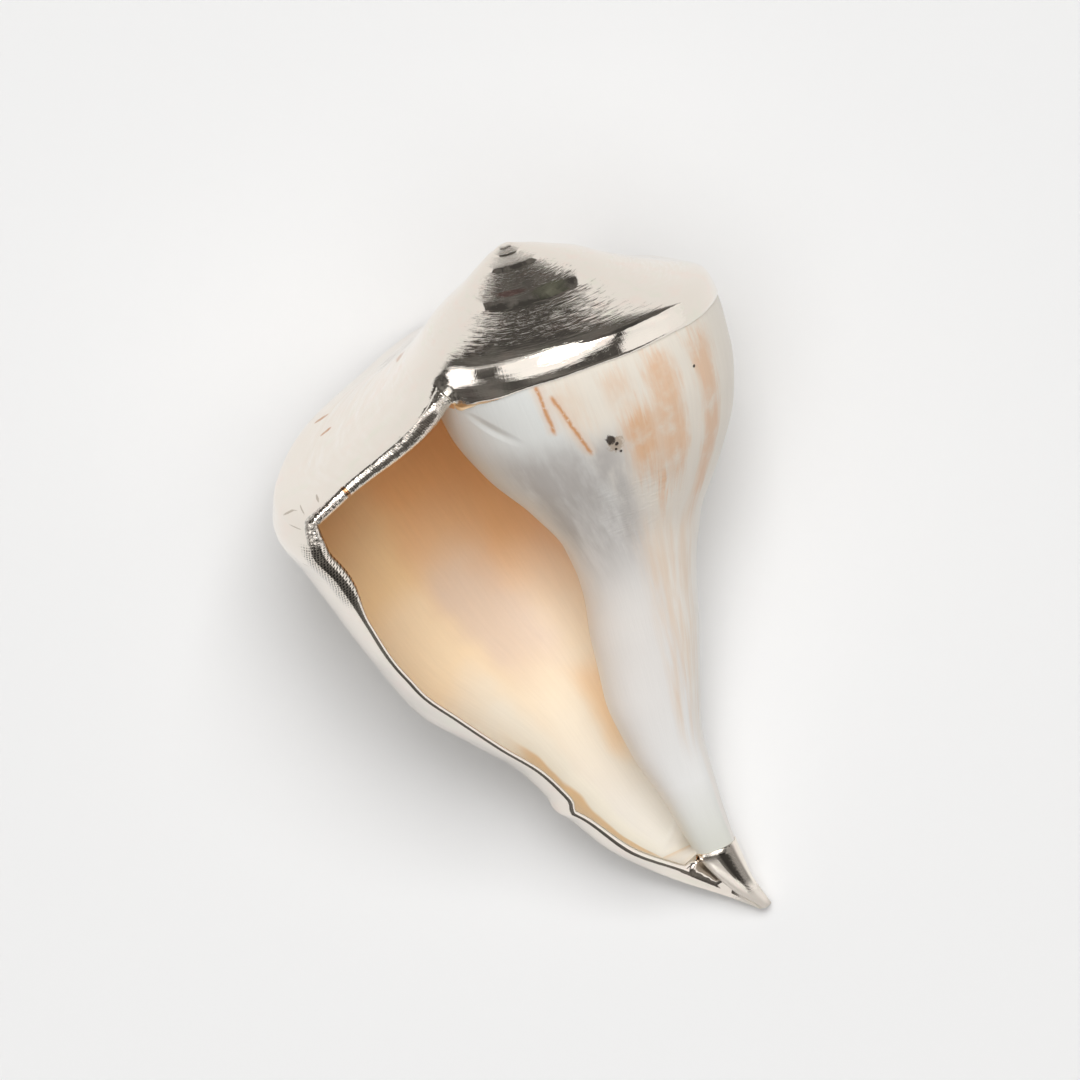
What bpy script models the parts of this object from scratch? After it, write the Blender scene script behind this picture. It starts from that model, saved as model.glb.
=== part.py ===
"""A left-handed whelk shell, partly plated with silver, lying on its back.

The shell grows as one spiral sheet. Every point of its outside is found from two
numbers: the growth angle, in degrees, which is 0 at the mouth's lip and falls towards
the apex, and the station, which is 0 on the shoulder's keel and 1 at the canal's tip.
Radius and depth are measured from the shell's own axis, depth from the apex down.
"""
import math

import bmesh
import bpy
import numpy as np
from mathutils import Matrix, Vector

# ---------------------------------------------------------------- driving dimensions
# Lengths are in millimetres and angles in degrees, until the vertices are made.
LENGTH = 140.0             # apex to canal tip, along the axis
TILT = 20.7                # the axis, raised at the apex end as the shell rests
LIP_AZIMUTH = 24.0         # round the axis: 0 is the shell's left, 90 faces up
WALL = 2.2                 # thickness of the wall deeper inside
WALL_GROWS_OVER = 25.0     # growth angle in which the lip's edge becomes that thick
ROOT = 0.017               # station taken up by the wall where it joins the older whorl
LIP_ROOT = 0.053           # and the same at the lip, where its foot flares
LIP_ROOT_REACH = 40.0      # growth angle over which the flare dies out
TIP_RADIUS = 0.9           # the canal's tip

STEP = 10.0                # growth angle between two columns of the mesh
TURN = 36                  # columns in a turn
OLDEST = 108               # the column where the first whorl starts
DEEPEST = 29               # the column where the hollow ends

# Thickness of the lip's edge: thick on the ramp (-1 at the suture, 0 on the keel) and
# below the shoulder, and thin down the rest of the side.
LIP_WALL_STATIONS = (-1, -0.7, -0.3, 0, 0.05, 0.13, 0.21, 0.88)
LIP_WALLS = (3.4, 3.0, 2.0, 1.9, 3.2, 2.8, 1.0, 1.1)

# The keel's radius at some growth angles; before them it grows at a constant rate.
GROWTH_RATE = 0.0021       # rise of the logarithm of the radius, for each degree
KEEL_ANGLES = (-390, -330, -294, -204, -174, -114, -64, -24, 0)
KEEL_RADII = (21.9, 24.6, 25.6, 32.4, 34.2, 41.6, 48.4, 55.4, 56.6)
# Depth of the keel, as a share of its radius.
SLOPE_ANGLES = (-1340, -1010, -764, -390, -330, -294, -204, -174, -144, -114, -24, 0)
SLOPES = (0.60, 0.50, 0.60, 0.60, 0.575, 0.565, 0.615, 0.655, 0.61, 0.575, 0.525, 0.49)

# The whorl's side: its radius as a share of the keel's, for each station and age.
STATIONS = (0, 0.06, 0.12, 0.20, 0.28, 0.36, 0.44, 0.52, 0.60, 0.70, 0.80, 0.90, 0.96, 1)
SIDES = {
    -564: (1, 1.00, 0.94, 0.76, 0.57, 0.43, 0.37, 0.35, 0.33, 0.25, 0.18, 0.11, 0.06, 0.03),
    -384: (1, 1.01, 0.99, 0.85, 0.61, 0.45, 0.43, 0.47, 0.47, 0.36, 0.22, 0.17, 0.10, 0.03),
    -294: (1, 1.01, 0.99, 0.88, 0.69, 0.52, 0.43, 0.39, 0.34, 0.26, 0.19, 0.13, 0.08, 0.03),
    -204: (1, 1.01, 0.99, 0.90, 0.71, 0.48, 0.37, 0.31, 0.25, 0.18, 0.15, 0.10, 0.05, 0.03),
    -114: (1, 0.98, 0.92, 0.84, 0.74, 0.61, 0.49, 0.40, 0.33, 0.26, 0.21, 0.13, 0.07, 0.03),
    -24: (1, 1.04, 1.01, 0.97, 0.93, 0.88, 0.81, 0.67, 0.53, 0.42, 0.32, 0.17, 0.07, 0.02),
    0: (1, 1.03, 0.99, 0.95, 0.92, 0.86, 0.75, 0.63, 0.50, 0.39, 0.29, 0.12, 0.05, 0.02),
}

# Where a whorl is attached to the side of the older one.
ATTACH_ANGLES = (-600, -360, -204, -114, 0)
ATTACH_STATIONS = (0.001, 0.001, 0.002, 0.004, 0.006)
# Hollow of the ramp between suture and keel, as a share of its width.
SAG_ANGLES = (-420, -345, -290, -60)
SAGS = (-0.02, -0.05, 0, 0.045)
LIP_SWEEP = -15.0          # how far the lip's edge runs ahead on the ramp, in angle
LIP_SWEEP_REACH = 40.0     # growth angle over which that dies out
LEAN_ENDS = 0.2            # station on the older whorl where it has died out

# The hollow's floor: it runs down the canal near the lip, and ends higher further in.
FLOOR_ANGLES = (-294, -204, -114, -60, 0)
FLOOR_STATIONS = (0.43, 0.52, 0.78, 0.86, 0.88)

# The canal swings sideways: its offset to the left at some depths.
BEND_DEPTHS = (65, 80, 95, 105, 115, 125, 133, 140)
BENDS = (0, 1.6, 3.7, 4.9, 5.1, 4.4, 2.6, 0)

# Blunt knobs on the keel: one for every KNOB_PITCH, each with its own height.
KNOB_FIRST = -17.0
KNOB_PITCH = 35.0
KNOB_WIDTH = 13.0
KNOB_HEIGHTS = (0.8, 1.6, 3.6, 4.7, 0.8, 0.6, 0.4)
KNOB_REACH = 0.10          # station where a knob has died out below the keel
TIP_STATIONS = (0.94, 0.98, 1)   # the rows below the hollow's floor

# The silver plating.
PLATING_GAP = 0.3          # clearance between the plating's solid and the shell's
PLATING = 0.45             # its own thickness
PLATING_EDGE_ANGLES = (-360, -330, -294, -204, -114, 0)
PLATING_EDGE_STATIONS = (0.058, 0.044, 0.032, 0.036, 0.045, 0.050)
PLATING_BAND = 5           # columns of the outer lip that it covers
WORN = 0.25                # how much of the plating is worn off where the shell rests
LEAST_LEAN = 0.7           # keeps the offset short where faces meet in a sharp edge

RAMP_ROWS = 4
SIDE_ROWS = 12
MM = 0.001


# ------------------------------------------------------------------ the shell's shape
def curve(x, knots, values):
    """A smooth curve through the knots that never overshoots them."""
    knots = np.asarray(knots, float)
    values = np.asarray(values, float)
    gaps = np.diff(knots)
    slopes = np.diff(values) / gaps
    tangents = np.empty_like(values)
    tangents[0] = slopes[0]
    tangents[-1] = slopes[-1]
    for i in range(1, len(knots) - 1):
        before, after = slopes[i - 1], slopes[i]
        if before * after <= 0:
            tangents[i] = 0
            continue
        w1 = 2 * gaps[i] + gaps[i - 1]
        w2 = gaps[i] + 2 * gaps[i - 1]
        tangents[i] = (w1 + w2) / (w1 / before + w2 / after)
    x = min(max(x, knots[0]), knots[-1])
    k = min(int(np.searchsorted(knots, x, side="right")) - 1, len(knots) - 2)
    t = (x - knots[k]) / gaps[k]
    ends = (1 + 2 * t) * (1 - t) ** 2 * values[k] + t * t * (3 - 2 * t) * values[k + 1]
    pulls = t * (1 - t) ** 2 * tangents[k] + t * t * (t - 1) * tangents[k + 1]
    return float(ends + gaps[k] * pulls)


def smooth(x, low, high):
    """0 below low, 1 above high, and a soft step between."""
    t = min(max((x - low) / (high - low), 0.0), 1.0)
    return t * t * (3 - 2 * t)


def keel(angle):
    """Radius and depth of the keel."""
    first = KEEL_ANGLES[0]
    if angle <= first:
        radius = KEEL_RADII[0] * math.exp(GROWTH_RATE * (angle - first))
    else:
        radius = math.exp(curve(angle, KEEL_ANGLES, np.log(KEEL_RADII)))
    return radius, radius * curve(angle, SLOPE_ANGLES, SLOPES)


def knob(angle):
    """How far the keel stands out, in a row of blunt knobs."""
    height = 0.0
    for i, top in enumerate(KNOB_HEIGHTS):
        away = (angle - (KNOB_FIRST - i * KNOB_PITCH)) / KNOB_WIDTH
        height += top * math.exp(-away * away)
    return height


def side(angle, station):
    """Radius and depth of a point on the whorl's side."""
    radius, depth = keel(angle)
    ages = sorted(SIDES)
    shares = [curve(station, STATIONS, SIDES[age]) for age in ages]
    share = curve(angle, ages, shares)
    bulge = knob(angle) * (1 - smooth(station, 0, KNOB_REACH))
    down = depth + (LENGTH - depth) * station
    return max(radius * share + bulge, TIP_RADIUS), down


def suture(angle):
    """Radius and depth of the line where the whorl meets the older one."""
    return side(angle - 360, curve(angle, ATTACH_ANGLES, ATTACH_STATIONS))


def ramp(angle, share):
    """Radius and depth of a point between suture (0) and keel (1)."""
    r0, z0 = suture(angle)
    r1, z1 = side(angle, 0)
    width = math.hypot(r1 - r0, z1 - z0)
    sag = curve(angle, SAG_ANGLES, SAGS) * width * 4 * share * (1 - share)
    r = r0 + (r1 - r0) * share - sag * (z1 - z0) / width
    z = z0 + (z1 - z0) * share + sag * (r1 - r0) / width
    return r, z


def place(angle, radius, depth):
    """The point in the shell's own frame, in metres: X right, Y to the apex, Z up."""
    azimuth = math.radians(LIP_AZIMUTH + angle)
    bend = curve(depth, BEND_DEPTHS, BENDS)
    x = -radius * math.cos(azimuth) - bend
    z = radius * math.sin(azimuth)
    return Vector((x, -depth, z)) * MM


# --------------------------------------------------------------------- rows of points
SUTURE_ROW = RAMP_ROWS + 2
EDGE_ROW = SUTURE_ROW + 1
FLOOR_ROW = EDGE_ROW + SIDE_ROWS


def floor_station(angle):
    return curve(angle, FLOOR_ANGLES, FLOOR_STATIONS)


def side_stations(edge, floor):
    """Stations of the side's rows, from the plating's edge to the hollow's floor."""
    return [edge + (floor - edge) * k / SIDE_ROWS for k in range(SIDE_ROWS + 1)]


def lag(angle):
    """How far a column leans at the suture, close to the lip."""
    return LIP_SWEEP * max(0.0, 1 - abs(angle) / LIP_SWEEP_REACH)


def ramp_rows(angle):
    """(angle, radius, depth) down the ramp, from the suture to the keel."""
    rows = []
    for k in range(RAMP_ROWS + 1):
        share = k / RAMP_ROWS
        leaning = angle - lag(angle) * (1 - smooth(share, 0, 0.8))
        rows.append((leaning, *ramp(leaning, share)))
    return rows


def side_row(angle, station):
    """(angle, radius, depth) on the side, which leans too where the lip meets it."""
    joined = ATTACH_STATIONS[-1]
    rise = smooth(station, 0, joined) * (1 - smooth(station, joined + LIP_ROOT, LEAN_ENDS))
    leaning = angle - lag(angle + 360) * rise
    return leaning, *side(leaning, station)


def outer_profile(angle):
    """One column of the last whorl, from the suture to the canal's tip."""
    first = curve(-360, PLATING_EDGE_ANGLES, PLATING_EDGE_STATIONS)
    edge = curve(angle, PLATING_EDGE_ANGLES, PLATING_EDGE_STATIONS)
    attached = ATTACH_STATIONS[-1] * edge / first
    stations = [attached / 2, attached] + side_stations(edge, FLOOR_STATIONS[-1])
    stations += TIP_STATIONS
    return ramp_rows(angle) + [side_row(angle, s) for s in stations]


def spire_profile(angle):
    """One column of an older whorl, from suture to suture."""
    attached = curve(angle + 360, ATTACH_ANGLES, ATTACH_STATIONS)
    return ramp_rows(angle) + [side_row(angle, s) for s in (attached / 2, attached)]


def core_profile(angle):
    """One column of the older whorl's side, where it is the hollow's wall."""
    root = LIP_ROOT + (ROOT - LIP_ROOT) * smooth(-angle, 0, LIP_ROOT_REACH)
    corner = curve(angle, ATTACH_ANGLES, ATTACH_STATIONS) + root
    return [side_row(angle - 360, s) for s in side_stations(corner, floor_station(angle))]


def inner_profile(angle):
    """One column of the wall's inner face, one wall thickness in."""
    edge = curve(angle, PLATING_EDGE_ANGLES, PLATING_EDGE_STATIONS)
    below = [edge / 3, edge * 2 / 3] + side_stations(edge, floor_station(angle))
    rows = ramp_rows(angle) + [side_row(angle, s) for s in below]
    stations = [k / RAMP_ROWS - 1 for k in range(RAMP_ROWS + 1)] + below
    moved = []
    for k, (leaning, r, z) in enumerate(rows):
        lip_wall = curve(stations[k], LIP_WALL_STATIONS, LIP_WALLS)
        wall = lip_wall + (WALL - lip_wall) * smooth(-angle, 0, WALL_GROWS_OVER)
        r0, z0 = rows[max(k - 1, 0)][1:]
        r1, z1 = rows[min(k + 1, len(rows) - 1)][1:]
        run = math.hypot(r1 - r0, z1 - z0)
        moved.append((leaning, r - wall * (z1 - z0) / run, z + wall * (r1 - r0) / run))
    return moved


# ------------------------------------------------------------------------- the shell
def add_column(bm, profile):
    return [bm.verts.new(place(*row)) for row in profile]


def add_face(bm, *corners):
    """A face through the corners, leaving out a corner that repeats."""
    loop = []
    for vert in corners:
        if vert not in loop:
            loop.append(vert)
    return bm.faces.new(loop)


def add_strip(bm, left, right, first, last):
    """Faces between two columns, from row first to row last."""
    return [add_face(bm, left[k], right[k], right[k + 1], left[k + 1])
            for k in range(first, last)]


def outer_columns(bm):
    """The outside's columns, from the lip (0) to the oldest one."""
    columns = [None] * (OLDEST + 1)
    apex = bm.verts.new(place(0, 0, 0))
    for i in range(OLDEST, -1, -1):
        angle = -STEP * i
        profile = spire_profile(angle) if i > TURN else outer_profile(angle)
        start = columns[i + TURN][SUTURE_ROW] if i + TURN <= OLDEST else apex
        columns[i] = [start] + add_column(bm, profile[1:])
    return columns


def make_shell_mesh():
    """The whole shell in one closed mesh, and the faces that are plated."""
    bm = bmesh.new()
    plated_id = bm.faces.layers.int.new("plated")
    outer = outer_columns(bm)
    core = [outer[TURN][EDGE_ROW:FLOOR_ROW + 1]]
    core += [add_column(bm, core_profile(-STEP * i)) for i in range(1, DEEPEST + 1)]
    inner = []
    for i in range(DEEPEST + 1):
        inner.append([core[i][0]] + add_column(bm, inner_profile(-STEP * i)[1:]))
    last = len(outer[0]) - 1
    plated = []

    # the outside
    for i in range(OLDEST):
        first = 1 if i == OLDEST - TURN else 0
        bottom = SUTURE_ROW if i >= TURN else last
        faces = add_strip(bm, outer[i], outer[i + 1], first, bottom)
        for row, face in enumerate(faces, first):
            near_lip = i < PLATING_BAND
            if row < EDGE_ROW or row >= FLOOR_ROW or near_lip:
                plated.append(face)
    start = outer[OLDEST - TURN]
    plated.append(add_face(bm, *outer[OLDEST], start[1], outer[OLDEST - TURN + 1][1]))

    # the lip's edge, and the canal's closed end below it
    plated += add_strip(bm, outer[0], inner[0], 0, FLOOR_ROW)
    plated.append(add_face(bm, outer[TURN][FLOOR_ROW], inner[0][FLOOR_ROW], outer[0][FLOOR_ROW],
                           outer[0][FLOOR_ROW + 1], outer[TURN][FLOOR_ROW + 1]))
    plated += add_strip(bm, outer[0], outer[TURN], FLOOR_ROW + 1, last)
    tip = bm.verts.new(place(0, 0, LENGTH + TIP_RADIUS / 2))
    for i in range(TURN):
        plated.append(add_face(bm, outer[i][last], outer[i + 1][last], tip))
    plated.append(add_face(bm, outer[0][last], outer[TURN][last], tip))

    # the hollow: the older whorl on one side, the wall on the other, floor and end
    for i in range(DEEPEST):
        add_strip(bm, core[i], core[i + 1], 0, SIDE_ROWS)
        add_strip(bm, inner[i], inner[i + 1], 0, FLOOR_ROW)
        add_face(bm, core[i][-1], inner[i][-1], inner[i + 1][-1], core[i + 1][-1])
    add_face(bm, *inner[DEEPEST][:EDGE_ROW + 1])
    add_strip(bm, core[DEEPEST], inner[DEEPEST][EDGE_ROW:], 0, SIDE_ROWS)

    for face in plated:
        face[plated_id] = 1
    bmesh.ops.recalc_face_normals(bm, faces=bm.faces)
    bmesh.ops.triangulate(bm, faces=bm.faces)
    bm.normal_update()
    return bm


# ----------------------------------------------------------------------- the plating
def offset_directions(bm):
    """For each vertex, the way out, so long that the faces move by one unit."""
    directions = {}
    for vert in bm.verts:
        normal = vert.normal
        lean = sum(normal.dot(face.normal) for face in vert.link_faces) / len(vert.link_faces)
        directions[vert.index] = normal / max(lean, LEAST_LEAN)
    return directions


def make_plating_mesh(shell):
    """A thin closed skin over the shell's plated faces."""
    shell.verts.index_update()
    plated_id = shell.faces.layers.int["plated"]
    faces = [face for face in shell.faces if face[plated_id]]
    directions = offset_directions(shell)
    bm = bmesh.new()
    under = {}
    over = {}
    for face in faces:
        for vert in face.verts:
            if vert.index in under:
                continue
            way = directions[vert.index]
            under[vert.index] = bm.verts.new(vert.co + way * PLATING_GAP * MM)
            over[vert.index] = bm.verts.new(vert.co + way * (PLATING_GAP + PLATING) * MM)
    for face in faces:
        loop = [vert.index for vert in face.verts]
        bm.faces.new([over[i] for i in loop])
        bm.faces.new([under[i] for i in reversed(loop)])
        for edge in face.edges:
            others = [f for f in edge.link_faces if not f[plated_id]]
            if others:
                a, b = (vert.index for vert in edge.verts)
                bm.faces.new((over[a], over[b], under[b], under[a]))
    bmesh.ops.recalc_face_normals(bm, faces=bm.faces)
    bmesh.ops.triangulate(bm, faces=bm.faces)
    return bm


def wear_flat(bm):
    """Cut off what is below the floor, and close the cuts with flat faces."""
    everything = bm.verts[:] + bm.edges[:] + bm.faces[:]
    cut = bmesh.ops.bisect_plane(bm, geom=everything, dist=1e-7, plane_co=(0, 0, 0),
                                 plane_no=(0, 0, -1), clear_outer=True)
    edges = [item for item in cut["geom_cut"] if isinstance(item, bmesh.types.BMEdge)]
    if edges:
        filled = bmesh.ops.holes_fill(bm, edges=edges)
        bmesh.ops.triangulate(bm, faces=filled["faces"])


# ------------------------------------------------------------------------- materials
def material(name, colour, roughness, metallic):
    made = bpy.data.materials.new(name)
    made.use_nodes = True
    shader = made.node_tree.nodes["Principled BSDF"]
    shader.inputs["Base Color"].default_value = (*colour, 1)
    shader.inputs["Roughness"].default_value = roughness
    shader.inputs["Metallic"].default_value = metallic
    return made


def add_object(name, bm, finish):
    mesh = bpy.data.meshes.new(name)
    bm.to_mesh(mesh)
    bm.free()
    mesh.materials.append(finish)
    mesh.shade_smooth()
    mesh.set_sharp_from_angle(angle=math.radians(40))
    made = bpy.data.objects.new(name, mesh)
    bpy.context.collection.objects.link(made)
    return made


def main():
    for old in list(bpy.data.objects):
        bpy.data.objects.remove(old, do_unlink=True)
    shell = make_shell_mesh()
    plating = make_plating_mesh(shell)

    # lay the shell on its back, and stand it on the floor over the origin
    tilt = Matrix.Rotation(math.radians(TILT), 4, "X")
    for bm in (shell, plating):
        bm.transform(tilt)
    corners = [vert.co for vert in plating.verts] + [vert.co for vert in shell.verts]
    low = Vector([min(co[i] for co in corners) for i in range(3)])
    high = Vector([max(co[i] for co in corners) for i in range(3)])
    middle = (low + high) / 2
    shift = Vector((-middle.x, -middle.y, -low.z - WORN * MM))
    for bm in (shell, plating):
        bmesh.ops.translate(bm, verts=bm.verts, vec=shift)
        wear_flat(bm)

    add_object("whelk_shell", shell, material("shell", (0.80, 0.72, 0.60), 0.3, 0.0))
    add_object("silver_plating", plating, material("silver", (0.80, 0.77, 0.72), 0.12, 1.0))


main()
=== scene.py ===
# %% [markdown]
# # A silver-plated whelk shell
#
# This notebook dresses a finished 3-D part: a left-handed whelk shell, 140 mm long,
# whose spire, shoulder, outer lip and canal tip were plated with silver and polished.
# The part's solids come first, as a fixed frame. They say how big the shell is and where
# it lies. Everything after that is finish: a fine surface in place of the coarse one,
# then porcelain, tan flames, an orange throat, and metal that mirrors the room.

# %% Load the frame
import math

import bmesh
import bpy
import numpy as np
from mathutils import Matrix, Vector


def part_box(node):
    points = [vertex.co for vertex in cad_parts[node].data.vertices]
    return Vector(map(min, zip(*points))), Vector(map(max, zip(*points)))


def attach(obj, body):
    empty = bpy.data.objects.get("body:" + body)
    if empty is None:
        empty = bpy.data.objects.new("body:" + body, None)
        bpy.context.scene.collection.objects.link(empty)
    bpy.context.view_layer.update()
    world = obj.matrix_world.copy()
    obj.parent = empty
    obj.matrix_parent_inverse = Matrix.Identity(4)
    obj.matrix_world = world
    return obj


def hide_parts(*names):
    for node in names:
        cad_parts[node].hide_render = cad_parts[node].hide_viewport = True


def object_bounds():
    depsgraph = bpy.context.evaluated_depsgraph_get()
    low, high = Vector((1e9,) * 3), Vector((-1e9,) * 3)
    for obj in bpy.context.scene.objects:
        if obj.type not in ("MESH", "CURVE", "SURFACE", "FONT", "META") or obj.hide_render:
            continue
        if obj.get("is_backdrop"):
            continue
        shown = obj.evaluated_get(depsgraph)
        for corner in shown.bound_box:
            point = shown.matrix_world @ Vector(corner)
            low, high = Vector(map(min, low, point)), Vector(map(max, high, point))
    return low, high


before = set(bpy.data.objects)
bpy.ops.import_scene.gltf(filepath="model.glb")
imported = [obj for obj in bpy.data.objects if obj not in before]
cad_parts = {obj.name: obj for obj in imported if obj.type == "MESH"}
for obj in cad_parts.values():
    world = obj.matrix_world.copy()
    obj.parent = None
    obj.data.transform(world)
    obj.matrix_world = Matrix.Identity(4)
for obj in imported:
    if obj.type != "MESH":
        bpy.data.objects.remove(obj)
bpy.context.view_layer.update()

MM = 0.001
print("nodes:", sorted(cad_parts))

# %% [markdown]
# ## How a whelk grows
#
# A snail builds its shell at the lip only, so the whole shell is one curve swept round an
# axis while it gets bigger. Two numbers name any point of it. The growth angle is 0 at the
# lip and falls by 360 for each turn towards the apex. The station is 0 on the shoulder's
# keel and 1 at the canal's tip. With them the surface can be worked out as finely as the
# render needs, and a finish can follow the way the shell really grew.
#
# The numbers below are the ones that the coarse solids were made from. Only the lip's wall
# is finer here, and the nick in its edge is new.

# %% The shape's dimensions, in millimetres and degrees
LENGTH = 140.0
TILT = 20.7
LIP_AZIMUTH = 24.0
LIP_WALL_STATIONS = (-1, -0.7, -0.3, 0, 0.05, 0.13, 0.21, 0.5, 0.72, 0.82, 0.88)
LIP_WALLS = (3.4, 3.0, 2.0, 1.9, 3.2, 2.8, 0.7, 0.6, 0.8, 1.2, 1.2)
WALL = 2.2
WALL_GROWS_OVER = 25.0
ROOT = 0.017
LIP_ROOT = 0.053
LIP_ROOT_REACH = 40.0
TIP_RADIUS = 0.9
GROWTH_RATE = 0.0021
KEEL_ANGLES = (-390, -330, -294, -204, -174, -114, -64, -24, 0)
KEEL_RADII = (21.9, 24.6, 25.6, 32.4, 34.2, 41.6, 48.4, 55.4, 56.6)
SLOPE_ANGLES = (-1340, -1010, -764, -390, -330, -294, -204, -174, -144, -114, -24, 0)
SLOPES = (0.60, 0.50, 0.60, 0.60, 0.575, 0.565, 0.615, 0.655, 0.61, 0.575, 0.525, 0.49)
STATIONS = (0, 0.06, 0.12, 0.20, 0.28, 0.36, 0.44, 0.52, 0.60, 0.70, 0.80, 0.90, 0.96, 1)
SIDES = {
    -564: (1, 1.00, 0.94, 0.76, 0.57, 0.43, 0.37, 0.35, 0.33, 0.25, 0.18, 0.11, 0.06, 0.03),
    -384: (1, 1.01, 0.99, 0.85, 0.61, 0.45, 0.43, 0.47, 0.47, 0.36, 0.22, 0.17, 0.10, 0.03),
    -294: (1, 1.01, 0.99, 0.88, 0.69, 0.52, 0.43, 0.39, 0.34, 0.26, 0.19, 0.13, 0.08, 0.03),
    -204: (1, 1.01, 0.99, 0.90, 0.71, 0.48, 0.37, 0.31, 0.25, 0.18, 0.15, 0.10, 0.05, 0.03),
    -114: (1, 0.98, 0.92, 0.84, 0.74, 0.61, 0.49, 0.40, 0.33, 0.26, 0.21, 0.13, 0.07, 0.03),
    -24: (1, 1.04, 1.01, 0.97, 0.93, 0.88, 0.81, 0.67, 0.53, 0.42, 0.32, 0.17, 0.07, 0.02),
    0: (1, 1.03, 0.99, 0.95, 0.92, 0.86, 0.75, 0.63, 0.50, 0.39, 0.29, 0.12, 0.05, 0.02),
}
ATTACH_ANGLES = (-600, -360, -204, -114, 0)
ATTACH_STATIONS = (0.001, 0.001, 0.002, 0.004, 0.006)
SAG_ANGLES = (-420, -345, -290, -60)
SAGS = (-0.02, -0.05, 0, 0.045)
LIP_SWEEP = -15.0
LIP_SWEEP_REACH = 40.0
LEAN_ENDS = 0.2
FLOOR_ANGLES = (-294, -204, -114, -60, 0)
FLOOR_STATIONS = (0.43, 0.52, 0.78, 0.86, 0.88)
BEND_DEPTHS = (65, 80, 95, 105, 115, 125, 133, 140)
BENDS = (0, 1.6, 3.7, 4.9, 5.1, 4.4, 2.6, 0)
KNOB_FIRST = -17.0
KNOB_PITCH = 35.0
KNOB_WIDTH = 13.0
KNOB_HEIGHTS = (0.8, 1.6, 3.6, 4.7, 0.8, 0.6, 0.4)
KNOB_REACH = 0.10
NICK_STATION = 0.666
NICK_LENGTH = 0.026
NICK_FADE = 0.035
NICK_DEPTH = 1.5
NICK_REACH = 45.0
PLATING_EDGE_ANGLES = (-360, -330, -294, -204, -114, 0)
PLATING_EDGE_STATIONS = (0.058, 0.044, 0.032, 0.036, 0.045, 0.050)
print("the keel grows from", KEEL_RADII[0], "to", KEEL_RADII[-1], "mm from the axis")

# %% [markdown]
# ## Smooth curves through a few knots
#
# Each of those tables is a handful of knots. A curve that passes through them and never
# swings past them keeps the shell free of false bumps. This is a monotone cubic: at each
# knot its slope is a mean of the slopes on both sides, or flat where the curve turns.
# It takes whole arrays, so the surface's thousands of points come out in one call.

# %% Curves
def curve(x, knots, values):
    """A smooth curve through the knots, for every x; values may differ for each x."""
    x = np.asarray(x, float)
    knots = np.asarray(knots, float)
    values = [np.broadcast_to(np.asarray(v, float), x.shape) for v in values]
    gaps = np.diff(knots)
    slopes = [(b - a) / gap for a, b, gap in zip(values, values[1:], gaps)]
    tangents = [slopes[0]]
    for i in range(1, len(knots) - 1):
        before, after = slopes[i - 1], slopes[i]
        w1, w2 = 2 * gaps[i] + gaps[i - 1], gaps[i] + 2 * gaps[i - 1]
        same = before * after > 0
        safe_before = np.where(same, before, 1)
        safe_after = np.where(same, after, 1)
        mean = (w1 + w2) / (w1 / safe_before + w2 / safe_after)
        tangents.append(np.where(same, mean, 0))
    tangents.append(slopes[-1])
    x = np.clip(x, knots[0], knots[-1])
    k = np.clip(np.searchsorted(knots, x, side="right") - 1, 0, len(knots) - 2)
    result = np.zeros(x.shape)
    for i in range(len(knots) - 1):
        t = (x - knots[i]) / gaps[i]
        ends = (1 + 2 * t) * (1 - t) ** 2 * values[i] + t * t * (3 - 2 * t) * values[i + 1]
        pulls = t * (1 - t) ** 2 * tangents[i] + t * t * (t - 1) * tangents[i + 1]
        result = np.where(k == i, ends + gaps[i] * pulls, result)
    return result


def smooth(x, low, high):
    """0 below low, 1 above high, and a soft step between."""
    t = np.clip((np.asarray(x, float) - low) / (high - low), 0, 1)
    return t * t * (3 - 2 * t)


print("a curve's middle:", float(curve(0.5, (0, 1), (0, 2))))

# %% [markdown]
# ## The whorl's surface
#
# These short functions give radius and depth, measured from the shell's own axis. The
# ramp runs from the suture out to the keel, and the side runs from the keel down to the
# canal's tip. `place` then turns growth angle, radius and depth into a point: the shell's
# left is -X, its apex +Y, and its mouth faces +Z before it is laid down.

# %% The surface
def keel(angle):
    first = KEEL_ANGLES[0]
    grown = np.exp(curve(angle, KEEL_ANGLES, np.log(KEEL_RADII)))
    young = KEEL_RADII[0] * np.exp(GROWTH_RATE * (angle - first))
    radius = np.where(angle <= first, young, grown)
    return radius, radius * curve(angle, SLOPE_ANGLES, SLOPES)


def knob(angle):
    height = np.zeros(np.shape(angle))
    for i, top in enumerate(KNOB_HEIGHTS):
        away = (angle - (KNOB_FIRST - i * KNOB_PITCH)) / KNOB_WIDTH
        height = height + top * np.exp(-away * away)
    return height


def nick(angle, station):
    """A step in the lip's outline, where its edge was once broken and grew on."""
    step_out = smooth(station, NICK_STATION, NICK_STATION + NICK_LENGTH)
    fading = np.exp(-np.maximum(station - NICK_STATION - NICK_LENGTH, 0) / NICK_FADE)
    return NICK_DEPTH * step_out * fading * (1 - smooth(-angle, 0, NICK_REACH))


def side(angle, station):
    angle, station = np.broadcast_arrays(np.asarray(angle, float), np.asarray(station, float))
    radius, depth = keel(angle)
    ages = sorted(SIDES)
    share = curve(angle, ages, [curve(station, STATIONS, SIDES[age]) for age in ages])
    bulge = knob(angle) * (1 - smooth(station, 0, KNOB_REACH)) + nick(angle, station)
    down = depth + (LENGTH - depth) * station
    return np.maximum(radius * share + bulge, TIP_RADIUS), down


def attached(angle):
    """The station at which a whorl meets the older one above it."""
    return curve(angle, ATTACH_ANGLES, ATTACH_STATIONS)


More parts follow.
